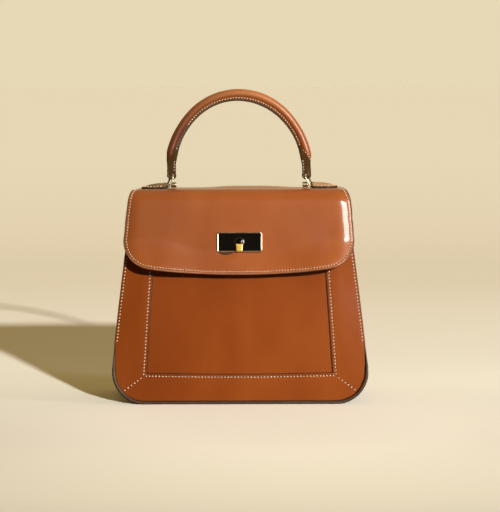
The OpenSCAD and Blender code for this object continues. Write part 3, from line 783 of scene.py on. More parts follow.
def gusset_point(s, z, depth=0.0):
    """s from 0 at the front to 1 at the back."""
    y0, y1 = front_and_back(side(z), z, GUSSET_LEVEL)
    fall = smoothstep((z - 66) / 120)
    crease_and_shadow_sheet = 1.6 * math.exp(-((s - 0.5) / 0.09) ** 2) * fall
    sag = 5.2 * math.sin(math.pi * s) ** 1.25 * fall + crease_and_shadow_sheet
    edge = min(s, 1 - s) * (y1 - y0)
    puff = 0.5 * math.exp(-((edge - 5) / 4) ** 2)
    return (side(z, -0.35 - depth) - sag + puff, y0 + (y1 - y0) * s, z)


def gusset_top(s):
    """Height of the gusset's mouth, which dips in its middle."""
    return RIM_Z - 5.5 * math.sin(math.pi * s) ** 1.3


GUSSET_FOOT, GUSSET_T, GUSSET_LINING_Z = 54, 1.5, 30
LINING_IN, LINING_T, LINING_LEVEL = 1.55, 0.6, -3.9
ss, ts = edge_shares(75, 3.0), np.linspace(0, 1, 56)


def gusset_sheet(sign, foot, depth):
    """Its points from a foot height up to the mouth, at a depth under the leather's face."""
    out = np.zeros((len(ts), len(ss), 3))
    for i, t in enumerate(ts):
        for j, s in enumerate(ss):
            out[i, j] = gusset_point(s, foot + (gusset_top(s) - foot) * t, depth)
    return out * (sign, 1, 1)


for name, sign in SIDES:
    top, low = [gusset_sheet(sign, GUSSET_FOOT, depth) for depth in (0.0, GUSSET_T)]
    closed_sheet("gusset_leather_" + name, top, low, TAN, "body", ["gusset_" + name])
    inner, outer = [gusset_sheet(sign, GUSSET_LINING_Z, depth) * (1, 0.99, 1) - (0, 0, 0.4)
                    for depth in (LINING_IN, LINING_IN + LINING_T)]
    closed_sheet("gusset_lining_" + name, inner, outer, LINING, "body")


# Base leather: from one side, round the corners and the bottom, to the other side
def out_of_foot(x, z):
    """The outward direction of the base leather at a point of the body's outline."""
    if abs(x) <= CORNER[0]:
        return np.array([0, 0, -1.0])
    if z >= CORNER[1]:
        n = np.array([math.copysign(SIDE_COS, x), 0, SIDE_SIN])
    else:
        n = np.array([x - math.copysign(CORNER[0], x), 0, z - CORNER[1]])
    return n / np.linalg.norm(n)


BASE_ROWS = 150
base_path = resample(outline(0.0, FOOT_END), BASE_ROWS)
across = edge_shares(96, 4.0)
base_top, base_low = [], []
for x, z in base_path:
    y0, y1 = front_and_back(x, z, BASE_LEVEL)
    n, p = out_of_foot(x, z), np.array([x, 0, z])
    run = [np.array([0, y0 + (y1 - y0) * s, 0]) for s in across]
    base_top.append([p - n * PAD_GAP + y for y in run])
    base_low.append([p - n * LEATHER + y for y in run])
base_top, base_low = np.array(base_top), np.array(base_low)
row = np.arange(BASE_ROWS)[:, None]
d_end = np.minimum(row, BASE_ROWS - 1 - row) * (length(base_path) / (BASE_ROWS - 1))
d_end = d_end * np.ones((1, len(across)))
closed_sheet("base_leather_wrap", base_top, base_low, TAN, "body",
             ["base_leather", "base_board"], np.exp(-d_end / 0.6))

# Painted edges: up the sides where panel and gusset meet, and round the mouth
for label, back in PANELS:
    for name, sign in SIDES:
        pts = [(sign * side(z, -0.25), z) for z in np.linspace(RIM_Z, FOOT_END - 2, 90)]
        sweep("edge_" + label + "_" + name, on_face(pts, -0.1, back), oval(1.45, 0.55, 10, 0.7),
              [(sign * SIDE_COS, 0, SIDE_SIN)] * len(pts), PAINT, "body")
for name, sign in SIDES:
    path = []
    for s in np.linspace(0.0, 1.0, 40):
        z = gusset_top(s)
        path.append((sign * gusset_point(s, z, 1.05)[0], gusset_point(s, z)[1], z))
    sweep("rim_gusset_" + name, path, oval(1.35, 0.5, 10, 0.7), [(0, 0, 1)] * len(path), PAINT, "body")
path = on_face([(x, RIM_Z) for x in np.linspace(-side(RIM_Z) + 0.6, side(RIM_Z) - 0.6, 120)], -1.0)
sweep("rim_front", path, oval(2.4, 0.5, 10, 0.7), [(0, 0, 1)] * len(path), PAINT, "body")

# Linings follow the leather inside, and the pocket hangs on the back lining
lining_us, lining_vs = np.linspace(0, 1, 50), np.linspace(0, 1, 44)
FLOOR_X, FLOOR_Y, FLOOR_Z = 99.0, 46.0, 3.9


def lining(name, back, top_z, replaced):
    """The lining of the front or the back, a little loose, from its round foot to a height."""
    right = [(side(z, -2.4), z) for z in np.linspace(34, top_z, 40)]
    left = [(-x, z) for x, z in right]
    low = [(x, 4.2 + 29.8 * max(0.0, (abs(x) - CORNER[0]) / 31.5) ** 2.2)
           for x in np.linspace(left[0][0], right[0][0], 60)]
    flat = coons(left, right, low, [left[-1], right[-1]], lining_us, lining_vs)
    loose = 0.5 * np.sin(flat[..., 0] * 0.06 + 1.0) * np.sin(flat[..., 1] * 0.045)
    inner, outer = [lifted(flat, loose + LINING_LEVEL + more, back) for more in (0.0, LINING_T)]
    closed_sheet(name, inner, outer, LINING, "body", replaced)


lining("lining_front", 1, RIM_Z - 0.8, ["front_lining"])
lining("lining_back", -1, 213.0, ["back_lining"])
left, right = [[(x, y) for y in np.linspace(-FLOOR_Y, FLOOR_Y, 30)] for x in (-FLOOR_X, FLOOR_X)]
floor_flat = coons(left, right, [left[0], right[0]], [left[-1], right[-1]], lining_us, lining_vs)
x, y = floor_flat[..., 0], floor_flat[..., 1]
floor_top = np.stack([x, y, FLOOR_Z + 0.5 * np.cos(x * 0.02)], axis=-1)
closed_sheet("lining_floor", floor_top, floor_top - np.array([0, 0, LINING_T]), LINING, "body",
             ["gusset_lining"])

# Slip pocket with a leather top band
POCKET_X, POCKET_Z, POCKET_H = 75, 96, 88
POCKET_BELLY, MOUTH_SAG = 7.5, 2.0
POCKET_LEVELS, BAND_LEVELS, BAND_ROWS = (-4.4, -5.4), (-4.15, -5.75), 6


def pocket_at(x, z):
    """The pocket's height at a point, and how far its wall stands off the back."""
    up = (z - POCKET_Z) / POCKET_H
    bulge = math.sin(math.pi * min(1, (POCKET_X - abs(x)) / POCKET_X) / 2) ** 0.8
    return z - MOUTH_SAG * math.cos(x / POCKET_X * math.pi / 2) * up, POCKET_BELLY * bulge * up ** 0.9


px = np.linspace(-POCKET_X, POCKET_X, 50)
pz = np.linspace(POCKET_Z, POCKET_Z + POCKET_H, 34)
grid = np.array([[(x, pocket_at(x, z)[0]) for x in px] for z in pz])
belly = np.array([[pocket_at(x, z)[1] for x in px] for z in pz])
wall_in, wall_out = [lifted(grid, level - belly, -1) for level in POCKET_LEVELS]
closed_sheet("pocket_wall", wall_in, wall_out, LINING, "body", ["slip_pocket"])
band_in, band_out = [lifted(grid[-BAND_ROWS:], level - belly[-BAND_ROWS:], -1) for level in BAND_LEVELS]
closed_sheet("pocket_band", band_in, band_out, TAN, "body")


def seam_on(line, level, back=1):
    """A seam along a line of the front or back, at a level over the leather's flat."""
    return on_face(line, level, back), normals_on(line, back)


# Seams of the body
seams, mitres = [], []
for sign in (1, -1):
    line = [(sign * (inner_edge(z) + SEW), z) for z in np.linspace(Z_IN - SEW, RIM_Z - 2, 120)]
    seams.append(seam_on(line, 1.45))
    seams.append(seam_on([(sign * side(z, -2.3), z) for z in np.linspace(FOOT_END + 1, RIM_Z - 2, 100)], 1.4))
    a = (CORNER_IN[0] + SEW + 1.4, Z_IN - SEW - 1.2)
    line = [(sign * (a[0] + (SEAM_END[0] - a[0]) * w), a[1] + (SEAM_END[1] - a[1]) * w)
            for w in np.linspace(0, 0.97, 12)]
    mitres.append(seam_on(line, 1.5))
line = [(x, Z_IN - SEW - SAG_IN * (1 - (x / CORNER_IN[0]) ** 2)) for x in np.linspace(-97.5, 97.5, 140)]
seams.append(seam_on(line, 1.45))
stitches("stitches_front", seams, "body", pitch=3.35, long=2.0, r=0.6, rise=0.4, slant=0.5, hole=0.8)
stitches("stitches_mitre", mitres, "body", pitch=4.0, long=2.0, r=0.6, rise=0.35, slant=0.3, hole=0.8)

GUSSET_SEW, BASE_SEW = 3.6, 3
seams = [seam_on(resample(outline(WELT_IN, 184, extra=BACK_SEW), 260), 1.4, -1)]
for sign in (1, -1):
    outward = (sign * 0.99, 0, 0.12)
    for at_back in (False, True):
        pts = []
        for z in np.linspace(FOOT_END + 4, RIM_Z - 3, 90):
            y0, y1 = front_and_back(side(z), z, GUSSET_LEVEL)
            s = GUSSET_SEW / (y1 - y0)
            x, y, z = gusset_point(1 - s if at_back else s, z)
            pts.append((sign * x, y, z))
        seams.append((pts, [outward] * 90))
    z = FOOT_END - BASE_SEW
    y0, y1 = front_and_back(side(z), z, BASE_LEVEL)
    pts = [(sign * side(z), y, z) for y in np.linspace(y0 + BASE_SEW, y1 - BASE_SEW, 40)]
    seams.append((pts, [outward] * 40))
stitches("stitches_sides_back", seams, "body")
seams = []
for k in (-5, -2):
    pts = lifted(grid[k:k + 1], BAND_LEVELS[1] - belly[k:k + 1], -1)[0]
    seams.append((pts, [(0, -1, 0)] * len(pts)))
stitches("stitches_pocket", seams, "body")


# Flap

# Its outer face: the level top, the bend to the front, and the yoke behind with its roll
TOP_Z, BEND_Y, BEND_Z, BEND_R, BEND_END = 219.0, -25.69, 203.0, 16.0, 180 - 4.699
YOKE_Z, YOKE_ROLL_Z, YOKE_LEVEL = 185.3, 213.4, 1.8
# How far it lies off the front, its lower edge, its thickness, and the stitches' distance from its edge
FLAP_LEVEL, FLAP_FOOT, FLAP_T, FLAP_SEW = 8.4, 133.0, 1.8, 2.7
# How far it reaches past the front's sides, half its width on top and at the yoke, and its corners
FLAP_OUT, FLAP_TOP_HALF, YOKE_HALF = 3.2, 108.2, 109.5
FLAP_CORNER_Z, FLAP_CORNER_R, FLAP_CORNER_TURN = 168.0, 29.4, 80.6

# Soft form of the flap: it stands off the front low down, most at its left corner
FLARE, FLARE_LEFT, FLARE_RIGHT, FLARE_Z, FLARE_SIDE = 6.5, 8.0, 4.5, 156.5, 13.0
CURL, CURL_W = 3.2, 15.0
CROWN, CROWN_X, CROWN_W = 1.5, 10.0, 38.0

# Points on each stretch of the flap's profile
N_YOKE, N_TURN, N_TOP, N_BEND, N_FRONT = 22, 13, 41, 29, 60


def flap_profile():
    """(y, z) of the flap's outer face from the foot of the yoke, over the top, down the front."""
    pts = []
    for z in np.linspace(YOKE_Z, YOKE_ROLL_Z, N_YOKE):
        pts.append((BASE_HALF - z * LEAN + YOKE_LEVEL / COS, z))
    y0, z0 = pts[-1]
    for w in np.linspace(0, 1, N_TURN + 1)[1:]:
        a = math.pi / 2 * w
        pts.append((y0 - 0.4 * w - 4.0 * (1 - math.cos(a)), z0 + (TOP_Z - z0) * math.sin(a)))
    pts += [(y, TOP_Z) for y in np.linspace(pts[-1][0], BEND_Y, N_TOP + 1)[1:]]
    for w in np.linspace(90, BEND_END, N_BEND + 1)[1:]:
        a = math.radians(w)
        pts.append((BEND_Y + BEND_R * math.cos(a), BEND_Z + BEND_R * math.sin(a)))
    y0, z0 = pts[-1]
    for z in np.linspace(z0, FLAP_FOOT - 5, N_FRONT)[1:]:
        pts.append((-(BASE_HALF - z * LEAN + FLAP_LEVEL / COS), z))
    return np.array(pts)


PROFILE = flap_profile()
PSEG = np.concatenate([[0], np.cumsum(np.linalg.norm(np.diff(PROFILE, axis=0), axis=1))])
PTAN = np.gradient(PROFILE, axis=0)
PTAN /= np.linalg.norm(PTAN, axis=1)[:, None]


def s_at_front(z):
    """Arc length where the front of the flap is at height z."""
    k = len(PROFILE) - N_FRONT
    return float(np.interp(-z, -PROFILE[k:, 1], PSEG[k:]))


def profile_at(s):
    """The profile's (y, z) and its outward normal at arc length s."""
    y, z = np.interp(s, PSEG, PROFILE[:, 0]), np.interp(s, PSEG, PROFILE[:, 1])
    ty, tz = np.interp(s, PSEG, PTAN[:, 0]), np.interp(s, PSEG, PTAN[:, 1])
    r = math.hypot(ty, tz)
    return y, z, tz / r, -ty / r


S_HINGE = float(np.interp(-30.0, -PROFILE[:40, 0], PSEG[:40]))
S_ROLL = float(PSEG[N_YOKE + N_TURN + N_TOP - 1])
S_DROP = float(PSEG[N_YOKE + N_TURN + N_TOP + N_BEND - 1])
S_CORNER, S_END = s_at_front(FLAP_CORNER_Z), s_at_front(FLAP_FOOT)


def flap_half(s):
    """Half the flap's width at arc length s, over the straight part of its sides."""
    y, z, ny, nz = profile_at(s)
    if s > S_DROP:
        return side(z, FLAP_OUT)
    at_drop = side(BEND_Z + 1.3, FLAP_OUT)
    if s > S_ROLL:
        w = (s - S_ROLL) / (S_DROP - S_ROLL)
        return at_drop + (FLAP_TOP_HALF - at_drop) * (1 - w) ** 1.6
    if s > S_HINGE:
        return FLAP_TOP_HALF
    return FLAP_TOP_HALF + (YOKE_HALF - FLAP_TOP_HALF) * (S_HINGE - s) / S_HINGE


def flap_border():
    """The flap's outline in (x, s): right side from the yoke down, round the corner, along the lower edge."""
    right = [(flap_half(s), s) for s in np.linspace(0, S_CORNER, 150)]
    x_turn, r = right[-1][0] - FLAP_CORNER_R, FLAP_CORNER_R
    turn = [math.radians(w) for w in np.linspace(0, FLAP_CORNER_TURN, 30)[1:]]
    corner = [(x_turn + r * math.cos(a), S_CORNER + r * math.sin(a)) for a in turn]
    x1, s1 = corner[-1]
    lower = []
    for x in np.linspace(x1, 0, 60)[1:]:
        drop = (1 - (x / x1) ** 2)
        lower.append((x, s1 + (S_END - s1) * drop ** 0.9 if x else S_END))
    return right, corner, lower


F_RIGHT, F_CORNER, F_LOWER = flap_border()
half_line = F_RIGHT + F_CORNER + F_LOWER
FLAP_LINE = np.array(half_line + [(-x, s) for x, s in reversed(half_line[:-1])])
CLOSED_LINE = np.concatenate([FLAP_LINE, FLAP_LINE[:1]])


def sag_left(x):
    """The top hangs a little at its left end."""
    return 0.9 * smoothstep((-x - 64) / 36)


def flap_tuck(x, z, s):
    """How far the front of the flap turns in at its foot, less how far it stands off."""
    tuck = 0.5 * (max(0.0, s - (S_END - 26)) / 26) ** 4
    side_share = smoothstep((abs(x) - 25) / 60)
    start = FLARE_Z + FLARE_SIDE * side_share
    if z < start:
        flare = FLARE + (FLARE_LEFT if x < 0 else FLARE_RIGHT) * smoothstep((abs(x) - 35) / 60)
        tuck -= flare * ((start - z) / (start - FLAP_FOOT)) ** 1.35
    return tuck


def flap_ripple(x, z, s, e):
    """Soft waves in the leather, and the wrinkle under the lock's left end. e is the distance to its side."""
    wave = 0.35 * math.sin(x * 0.045 + 0.6) * math.sin((s - S_DROP) * 0.05)
    wave *= min(1, e / 25) * min(1, max(0.0, abs(x) - 30) / 20)
    wrinkle = math.exp(-((z - 154.0 - 0.05 * (x + 12)) / 2.0) ** 2) * math.exp(-((x + 12.5) / 6.5) ** 4)
    swelling = math.exp(-((z - 148.5) / 3.5) ** 2) * math.exp(-((x + 8) / 16) ** 2)
    return wave - 0.9 * wrinkle + 0.5 * swelling


def flap_point(x, s, depth=0.0):
    """A point on the flap, depth under its outer face. Its sides and lower edge curl in a little."""
    y, z, ny, nz = profile_at(s)
    e = max(0.0, flap_half(min(s, S_CORNER)) - abs(x))
    down = smoothstep((s - S_ROLL) / (S_DROP - S_ROLL))
    curl = CURL * max(0.0, 1 - e / CURL_W) ** 2 * (0.1 + 0.9 * down ** (3 if x < 0 else 1))
    tuck, ripple = (flap_tuck(x, z, s), flap_ripple(x, z, s, e)) if s > S_DROP else (0.0, 0.0)
    free = min(1.0, max(0.0, 70 - abs(x)) / 10)
    top = 0.2 * math.sin(math.pi * min(max((s - S_HINGE) / (S_ROLL - S_HINGE), 0), 1)) * free
    if s < S_ROLL:
        top -= 1.3 * smoothstep((y - 13 + 10 * free) / 16) + 0.3 * smoothstep((abs(x) - 101) / 5)
        crown = math.exp(-((x - CROWN_X) / CROWN_W) ** 4)
        top += CROWN * crown * smoothstep((y + 20) / 25) - sag_left(x)
    front = min(max((s - S_DROP) / (S_END - S_DROP), 0), 1)
    pillow = 0.6 * math.sin(math.pi * front) * smoothstep((abs(x) - 25) / 60)
    out = -depth - curl - tuck + ripple + top + pillow
    if s > S_ROLL and x > 0:
        narrow = smoothstep((198 - z) / 10) + 0.9 * smoothstep((182 - z) / 10)
        x -= narrow * smoothstep((x - 60) / 45)
    elif s > S_ROLL:
        x += 0.7 * smoothstep((190 - z) / 15) * smoothstep((-x - 60) / 45)
    return (x, y + ny * out, z + nz * out)


def flap_normal(x, s):
    """The outward normal of the flap."""
    h = 1.0
    a = np.array(flap_point(x + h, s)) - np.array(flap_point(x - h, s))
    b = np.array(flap_point(x, s + h)) - np.array(flap_point(x, s - h))
    n = np.cross(a, b)
    n /= np.linalg.norm(n)
    y, z, ny, nz = profile_at(s)
    return n if n[1] * ny + n[2] * nz > 0 else -n


turn_at = len(F_RIGHT) + 14
side_line = (F_RIGHT + F_CORNER)[:turn_at]
low_line = (F_RIGHT + F_CORNER + F_LOWER)[turn_at - 1:]
lower_full = [(-x, s) for x, s in low_line] + [(x, s) for x, s in reversed(low_line[:-1])]
FLAT = coons([(-x, s) for x, s in side_line], side_line, [(-side_line[0][0], side_line[0][1]), side_line[0]],
             lower_full, edge_shares(220.0, 3.5), edge_shares(length(side_line), 2.6))
D_FLAP = distance(FLAT, CLOSED_LINE)


def flap_sheet(depths, inset=0.0):
    """The flap's grid at a depth for each point, drawn in by about inset."""
    rows, cols = D_FLAP.shape
    out = np.zeros((rows, cols, 3))
    for i in range(rows):
        for j in range(cols):
            x, s = FLAT[i, j]
            out[i, j] = flap_point(x * (1 - inset / 110), s * (1 - inset / 220) + inset * 0.4, depths[i, j])
    return out


skin = rounded(D_FLAP, FLAP_T, 0.9) - FLAP_T + groove(D_FLAP, FLAP_SEW, 0.6, 0.36)
skin += 0.22 * plateau(D_FLAP, 9, 7)
flat_skin = np.zeros_like(skin)
skin_top, skin_low = flap_sheet(-skin), flap_sheet(flat_skin + FLAP_T)
flap_top = closed_sheet("flap_skin", skin_top, skin_low, FLAP_TAN, None,
                        ["flap_leather", "flap_board", "back_yoke"], np.exp(-(D_FLAP / 1.9) ** 2))
under_top, under_low = [flap_sheet(flat_skin + depth, 0.2) for depth in (1.85, 3.2)]
flap_under = closed_sheet("flap_lining_sheet", under_top, under_low, LINING, None, ["flap_lining"])
edge_line = resample(FLAP_LINE, 620)
edge_path = [flap_point(x, s, 1.55) for x, s in edge_line]
edge_up = [flap_normal(x, s) for x, s in edge_line]
flap_edge = sweep("flap_edge_paint", edge_path, oval(0.5, 1.6, 14, 0.8), edge_up, FLAP_PAINT, None)


def inward(line, d):
    """The line moved inward by d, in the flat (x, s) plane."""
    p = np.array(line)
    along = np.gradient(p, axis=0)
    along /= np.linalg.norm(along, axis=1)[:, None]
    n = np.stack([-along[:, 1], along[:, 0]], axis=1)
    middle, k = np.array([0, 120.0]), len(p) // 4
    return p + (n if (middle - p[k]) @ n[k] >= 0 else -n) * d


sew = resample(inward(edge_line[6:-6], FLAP_SEW), 600)
yoke = [(x, BACK_SEW) for x in np.linspace(-104, 104, 100)]
seams = []
for line in (sew, yoke):
    seams.append(([flap_point(x, s, 0.25) for x, s in line], [flap_normal(x, s) for x, s in line]))
flap_seam = stitches("stitches_flap", seams, None, pitch=2.95, long=1.75, r=0.55, rise=0.35, slant=0.45,
                     hole=0.68)
for piece in [flap_top, flap_under, flap_edge] + flap_seam:
    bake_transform(piece)


# Handle

# Height of the arch's centre, radii of the roll's middle line and of the roll, and of the flange's edge
# and its stitches
ARCH_Z, ROLL_LINE, ROLL_R = 248.5, 69.2, 4.3
FLANGE_LINE, FLANGE_SEW = 64.9, 65.3


def bow(x, y, z):
    """Soft lean and spread of the handle: narrower shoulders, wider feet, a little to the left."""
    k = 1.014 + 0.016 * smoothstep((z - 231) / 14) - 0.054 * smoothstep((z - 246) / 40)
    k += 0.009 * math.exp(-((z - 277) / 12) ** 2)
    drift = -0.3 - 0.4 * smoothstep((z - 234) / 14)
    return (x * k + drift, y, z - 0.9 * smoothstep((z - 250) / 60))


def on_arch(r, angle, y=0.0):
    """A point of the handle at a radius and an angle from its right end."""
    return bow(r * math.cos(angle), y, ARCH_Z + r * math.sin(angle))


def cover_profile():
    """The roll's round outside and its flange, as (outward, sideways)."""
    turn = [math.radians(w) for w in np.linspace(-128, 128, 25)]
    flange = [(-3.25, 2.45), (-3.9, 1.75), (-4.6, 1.45), (-5.5, 1.34), (-6.3, 1.28), (-6.8, 1.1), (-7.0, 0.7)]
    other = [(flange[-1][0], 0.0)] + [(a, -b) for a, b in reversed(flange)]
    return [(ROLL_R * math.cos(a), ROLL_R * math.sin(a)) for a in turn] + flange + other


def roll_end(a, b):
    """Degrees over the arch's centre of the roll's slanting ends, and how much lower the right one is."""
    return 3.9 - 3.9 * a / ROLL_R - 1.2 * (abs(b) / ROLL_R) ** 2, 3.0 * max(a, 0.0) / ROLL_R


def reach(ang):
    """How far the flange stands in: it is widest at the right shoulder."""
    return 1 + 0.35 * math.exp(-((math.degrees(ang) - 65) / 35) ** 2)


prof = cover_profile()
rows, cols = 181, len(prof)
verts = []
for i in range(rows):
    w = i / (rows - 1)
    for a, b in prof:
        end, more = [math.radians(t) for t in roll_end(a, b)]
        right = end - more
        ang = right + (math.pi - end - right) * w
        near = min(w, 1 - w) * 180
        k = 1 - 0.14 * (1 - smoothstep(near / 7))
        lump = 1 + 0.010 * math.sin(ang * 7 + 0.5) + 0.006 * math.sin(ang * 17)
        if a > 0:
            k -= 0.18 * (1 - smoothstep(near / 7)) * a / ROLL_R
        if a < -3.3:
            k, lump = 1.0, 1.0
        if a < -ROLL_R:
            a = -ROLL_R + (a + ROLL_R) * reach(ang)
        verts.append(on_arch(ROLL_LINE + a * k * lump, ang, b * k * lump))
faces = tube_faces(rows, cols)
dark = [smoothstep((-a - 4.7) / 0.7) for a, b in prof]
rim = [1.0] * cols + dark * (rows - 2) + [1.0] * cols
make("handle_roll", verts, faces, HANDLE_TAN, "handle", ["handle_cover", "handle_core"], rim)
angles = np.radians(np.linspace(10.2, 169.8, 200))
path = [on_arch(FLANGE_LINE - 2.75 * reach(a), a) for a in angles]
sweep("handle_edge_paint", path, oval(1.35, 0.45, 12, 0.8), [(math.cos(a), 0, math.sin(a)) for a in angles],
      DARK_PAINT, "handle")


def flange_seam(start, end, count, back):
    """Stitches along the flange between two angles."""
    ang = np.radians(np.linspace(start, end, count))
    return [on_arch(FLANGE_SEW - 0.8 * reach(a), a, back * 1.4) for a in ang], [(0, back, 0)] * count


seams = []
for back in (-1, 1):
    seams.append(flange_seam(12.5, 146.0, 190, back))
    pts, nrm = [], []
    for a in np.linspace(-3.6, 4.0, 14):
        b = math.sqrt(ROLL_R ** 2 - a * a)
        end, more = roll_end(a, b)
        pts.append(on_arch(ROLL_LINE + a * 0.88, math.radians(2.0 + end - more), back * b * 0.88))
        nrm.append((a / ROLL_R, back * b / ROLL_R, 0))
    seams.append((pts, nrm))
stitches("stitches_handle", seams, "handle", pitch=2.9, long=1.75, r=0.46, slant=0.3, hole=0.6)
# The left leg's lower flange stitches take a dark thread: painted shade.
seams = [flange_seam(147.5, 167.5, 30, back) for back in (-1, 1)]
stitches("stitches_handle_worn", seams, "handle", pitch=2.9, long=1.75, r=0.46, slant=0.3, hole=0.9,
         material=SHADED_THREAD)

# End straps: flat leather that swells into the roll, with an eye at the foot
EYE, EYE_R = (69.31, 231.56), 1.25


def strap_outline():
    """The right strap's outline in (x, z), from the top of its outer side round the foot."""
    outer = [(70.2, 263.5), (71.6, 259.5), (72.4, 256.0), (72.75, 252.5), (72.6, 248.5), (72.3, 244.3),
             (72.55, 240.2), (73.3, 236.5)]
    inner = [(64.1, 237.5), (63.9, 240.5), (63.25, 244.3), (62.4, 248.5), (61.75, 252.6), (61.2, 256.8),
             (60.95, 259.5), (61.3, 262.5)]
    turn = [math.radians(a) for a in np.linspace(20, -205, 38)]
    foot = [(EYE[0] - 0.3 + 4.85 * math.cos(a), EYE[1] + 4.2 * math.sin(a)) for a in turn]
    loop = outer + foot + inner
    return resample(loop + [loop[0]], 121)[:-1]


STRAP_LOOP = strap_outline()
loop_closed = np.concatenate([STRAP_LOOP, STRAP_LOOP[:1]])
near_edge = 1 - np.array([0.2, 0.15, 0.11, 0.08, 0.055, 0.035, 0.018, 0.007, 0.0])
shares = np.concatenate([np.linspace(0, 0.75, 12), near_edge])


def strap_half(z):
    """Half thickness, and the radius its edges are rounded to."""
    w = smoothstep((z - 234) / 26)
    return 1.15 + 2.2 * w, 0.7 + 2.7 * w


def strap_point(p, w, sign):
    """A point of the strap's front, w of the way from the eye to the outline, and how dark its edge is."""
    d = float(distance(p[None], loop_closed)[0])
    half, r = strap_half(p[1])
    q = min(d / r, 1.0)
    y = half * (0.25 + 0.75 * math.sqrt(1 - (1 - q) ** 2)) - 0.22 * math.exp(-((d - 1.9) / 0.45) ** 2)
    if w < 0.02:
        y -= 0.25
    q = bow(sign * p[0], -y, p[1])
    near = 1 - smoothstep((w - 0.02) / 0.3)
    return (q[0] + (sign * p[0] - q[0]) * near, -y, q[2]), math.exp(-d / 0.4)


INNER_Z = [236, 240.5, 244.3, 248.5, 252.6, 256.8, 260]
INNER_X = [64.2, 63.9, 63.25, 62.4, 61.75, 61.2, 60.95]
eye = np.array(EYE)
hole = [eye + EYE_R * (p - eye) / np.linalg.norm(p - eye) for p in STRAP_LOOP]
for name, sign in SIDES:
    shaped = [strap_point(hole[k] + (STRAP_LOOP[k] - hole[k]) * w, w, sign)
              for w in shares for k in range(len(STRAP_LOOP))]
    front, rims = [q for q, dark in shaped], [dark for q, dark in shaped]
    verts = front + [(x, -y, z) for x, y, z in front]
    make("handle_end_strap_" + name, verts, slab_faces(len(shares), len(STRAP_LOOP), True), STRAP, "handle",
         ["handle_strap_" + name], rims + rims)
    seams = []
    for back in (-1, 1):
        pts = []
        for z in np.linspace(EYE[1] + 4.5, EYE[1] + 16.0, 20):
            x = float(np.interp(z, INNER_Z, INNER_X)) + 1.7
            pts.append(bow(sign * x, back * (strap_half(z)[0] * 0.93), z))
        seams.append((pts, [(0, back, 0)] * 20))
    stitches("stitches_strap_" + name, seams, "handle", pitch=2.7, long=1.7, r=0.5, slant=0.4, hole=0.55)

# Tabs on the flap: flat sewn borders and a padded ridge over the bar
TAB_IN, TAB_L, TAB_W, TAB_SEW = 75.475, 26.0, 24.0, 2.9
TAB_TURN = TAB_IN + TAB_L - TAB_W / 2


def tab_outline(inset=0.0):
    """The right tab's outline in (x, y): the inner end first, then round the outer one."""
    r = TAB_W / 2 - inset
    cx = TAB_TURN
    pts = [(TAB_IN + inset, y) for y in np.linspace(-r + 1.2, r - 1.2, 24)]
    pts += [(TAB_IN + inset + 1.2, r)]
    pts += [(x, r) for x in np.linspace(TAB_IN + inset + 2.5, cx, 10)]
    pts += [(cx + r * math.cos(a), r * math.sin(a)) for a in np.linspace(math.pi / 2, -math.pi / 2, 44)[1:-1]]
    pts += [(x, -r) for x in np.linspace(cx, TAB_IN + inset + 2.5, 10)]
    pts += [(TAB_IN + inset + 1.2, -r)]
    return np.array(pts)


TAB_LOOP = tab_outline()
tab_closed = np.concatenate([TAB_LOOP, TAB_LOOP[:1]])
tab_shares = np.array([0, 0.1, 0.2, 0.3, 0.4, 0.5, 0.58, 0.64, 0.69, 0.73, 0.77, 0.81, 0.85, 0.89, 0.93, 0.96,
                       0.98, 0.993, 1.0])


def tab_height(x, y, d):
    """Height over the flap, d inside the tab's edge: a ridge over the bar, a pad, and a groove to sew in."""
    along = min(max((x - TAB_IN) / TAB_L, 0), 1)
    ridge = (1 - along ** 2.2) * math.exp(-(y / 7.0) ** 2)
    open_d = d if x > TAB_IN + 4 else max(d, min(12 - abs(y), 12))
    pad = 0.5 * smoothstep((open_d - 4.2) / 3)
    h = 1.75 + pad + 3.4 * ridge
    t = min(d / 0.7, 1)
    h -= 0.5 * (1 - math.sqrt(1 - (1 - t) ** 2))
    return h - 0.3 * math.exp(-((open_d - TAB_SEW) / 0.6) ** 2)


def on_top(x, y, h):
    """A point at a height over the bag's top."""
    return (x, y, TOP_Z + h - sag_left(x))


tab_middle = np.array([TAB_IN + 9.0, 0.0])
round_end = TAB_LOOP[23:]
sew_line = resample([p for p in tab_outline(TAB_SEW)[24:] if p[0] > TAB_IN + 3], 70)
for name, sign in SIDES:
    top, rims = [], []
    for w in tab_shares:
        for q in TAB_LOOP:
            p = tab_middle + (q - tab_middle) * w
            d = float(distance(p[None], tab_closed)[0])
            top.append(on_top(sign * p[0], p[1], 0.05 + tab_height(p[0], p[1], d)))
            rims.append(math.exp(-d / 0.5))
    verts = top + [on_top(x, y, 0.02) for x, y, z in top]
    make("tab_leather_" + name, verts, slab_faces(len(tab_shares), len(TAB_LOOP)), TAB_TAN, "flap",
         ["handle_tab_" + name], rims + rims)
    out_dirs = []
    for x, y in round_end:
        v = np.array([x - min(x, TAB_TURN), y])
        v = v / max(np.linalg.norm(v), 1e-6)
        out_dirs.append((sign * v[0], v[1], 0))
    sweep("tab_edge_" + name, [on_top(sign * x, y, 0.95) for x, y in round_end], oval(0.85, 0.38, 12, 0.7),
          out_dirs, DARK_PAINT, "flap")
    pts = [on_top(sign * x, y, 0.15 + tab_height(x, y, TAB_SEW)) for x, y in sew_line]
    stitches("stitches_tab_" + name, [(pts, [(0, 0, 1)] * len(pts))], "flap", pitch=3.3, long=2.1, r=0.6,
             rise=0.5, slant=0.5, hole=0.7)


# Metal

def paint_node(name, material):
    """The CAD's own mesh in a new material."""
    mats = nodes[name].data.materials
    if not len(mats):
        mats.append(material)
    for i in range(len(mats)):
        mats[i] = material


def at_lock(x, z, level):
    """A point at a level over the plane of the front."""
    return (x, -(BASE_HALF - z * LEAN + level / COS), z)


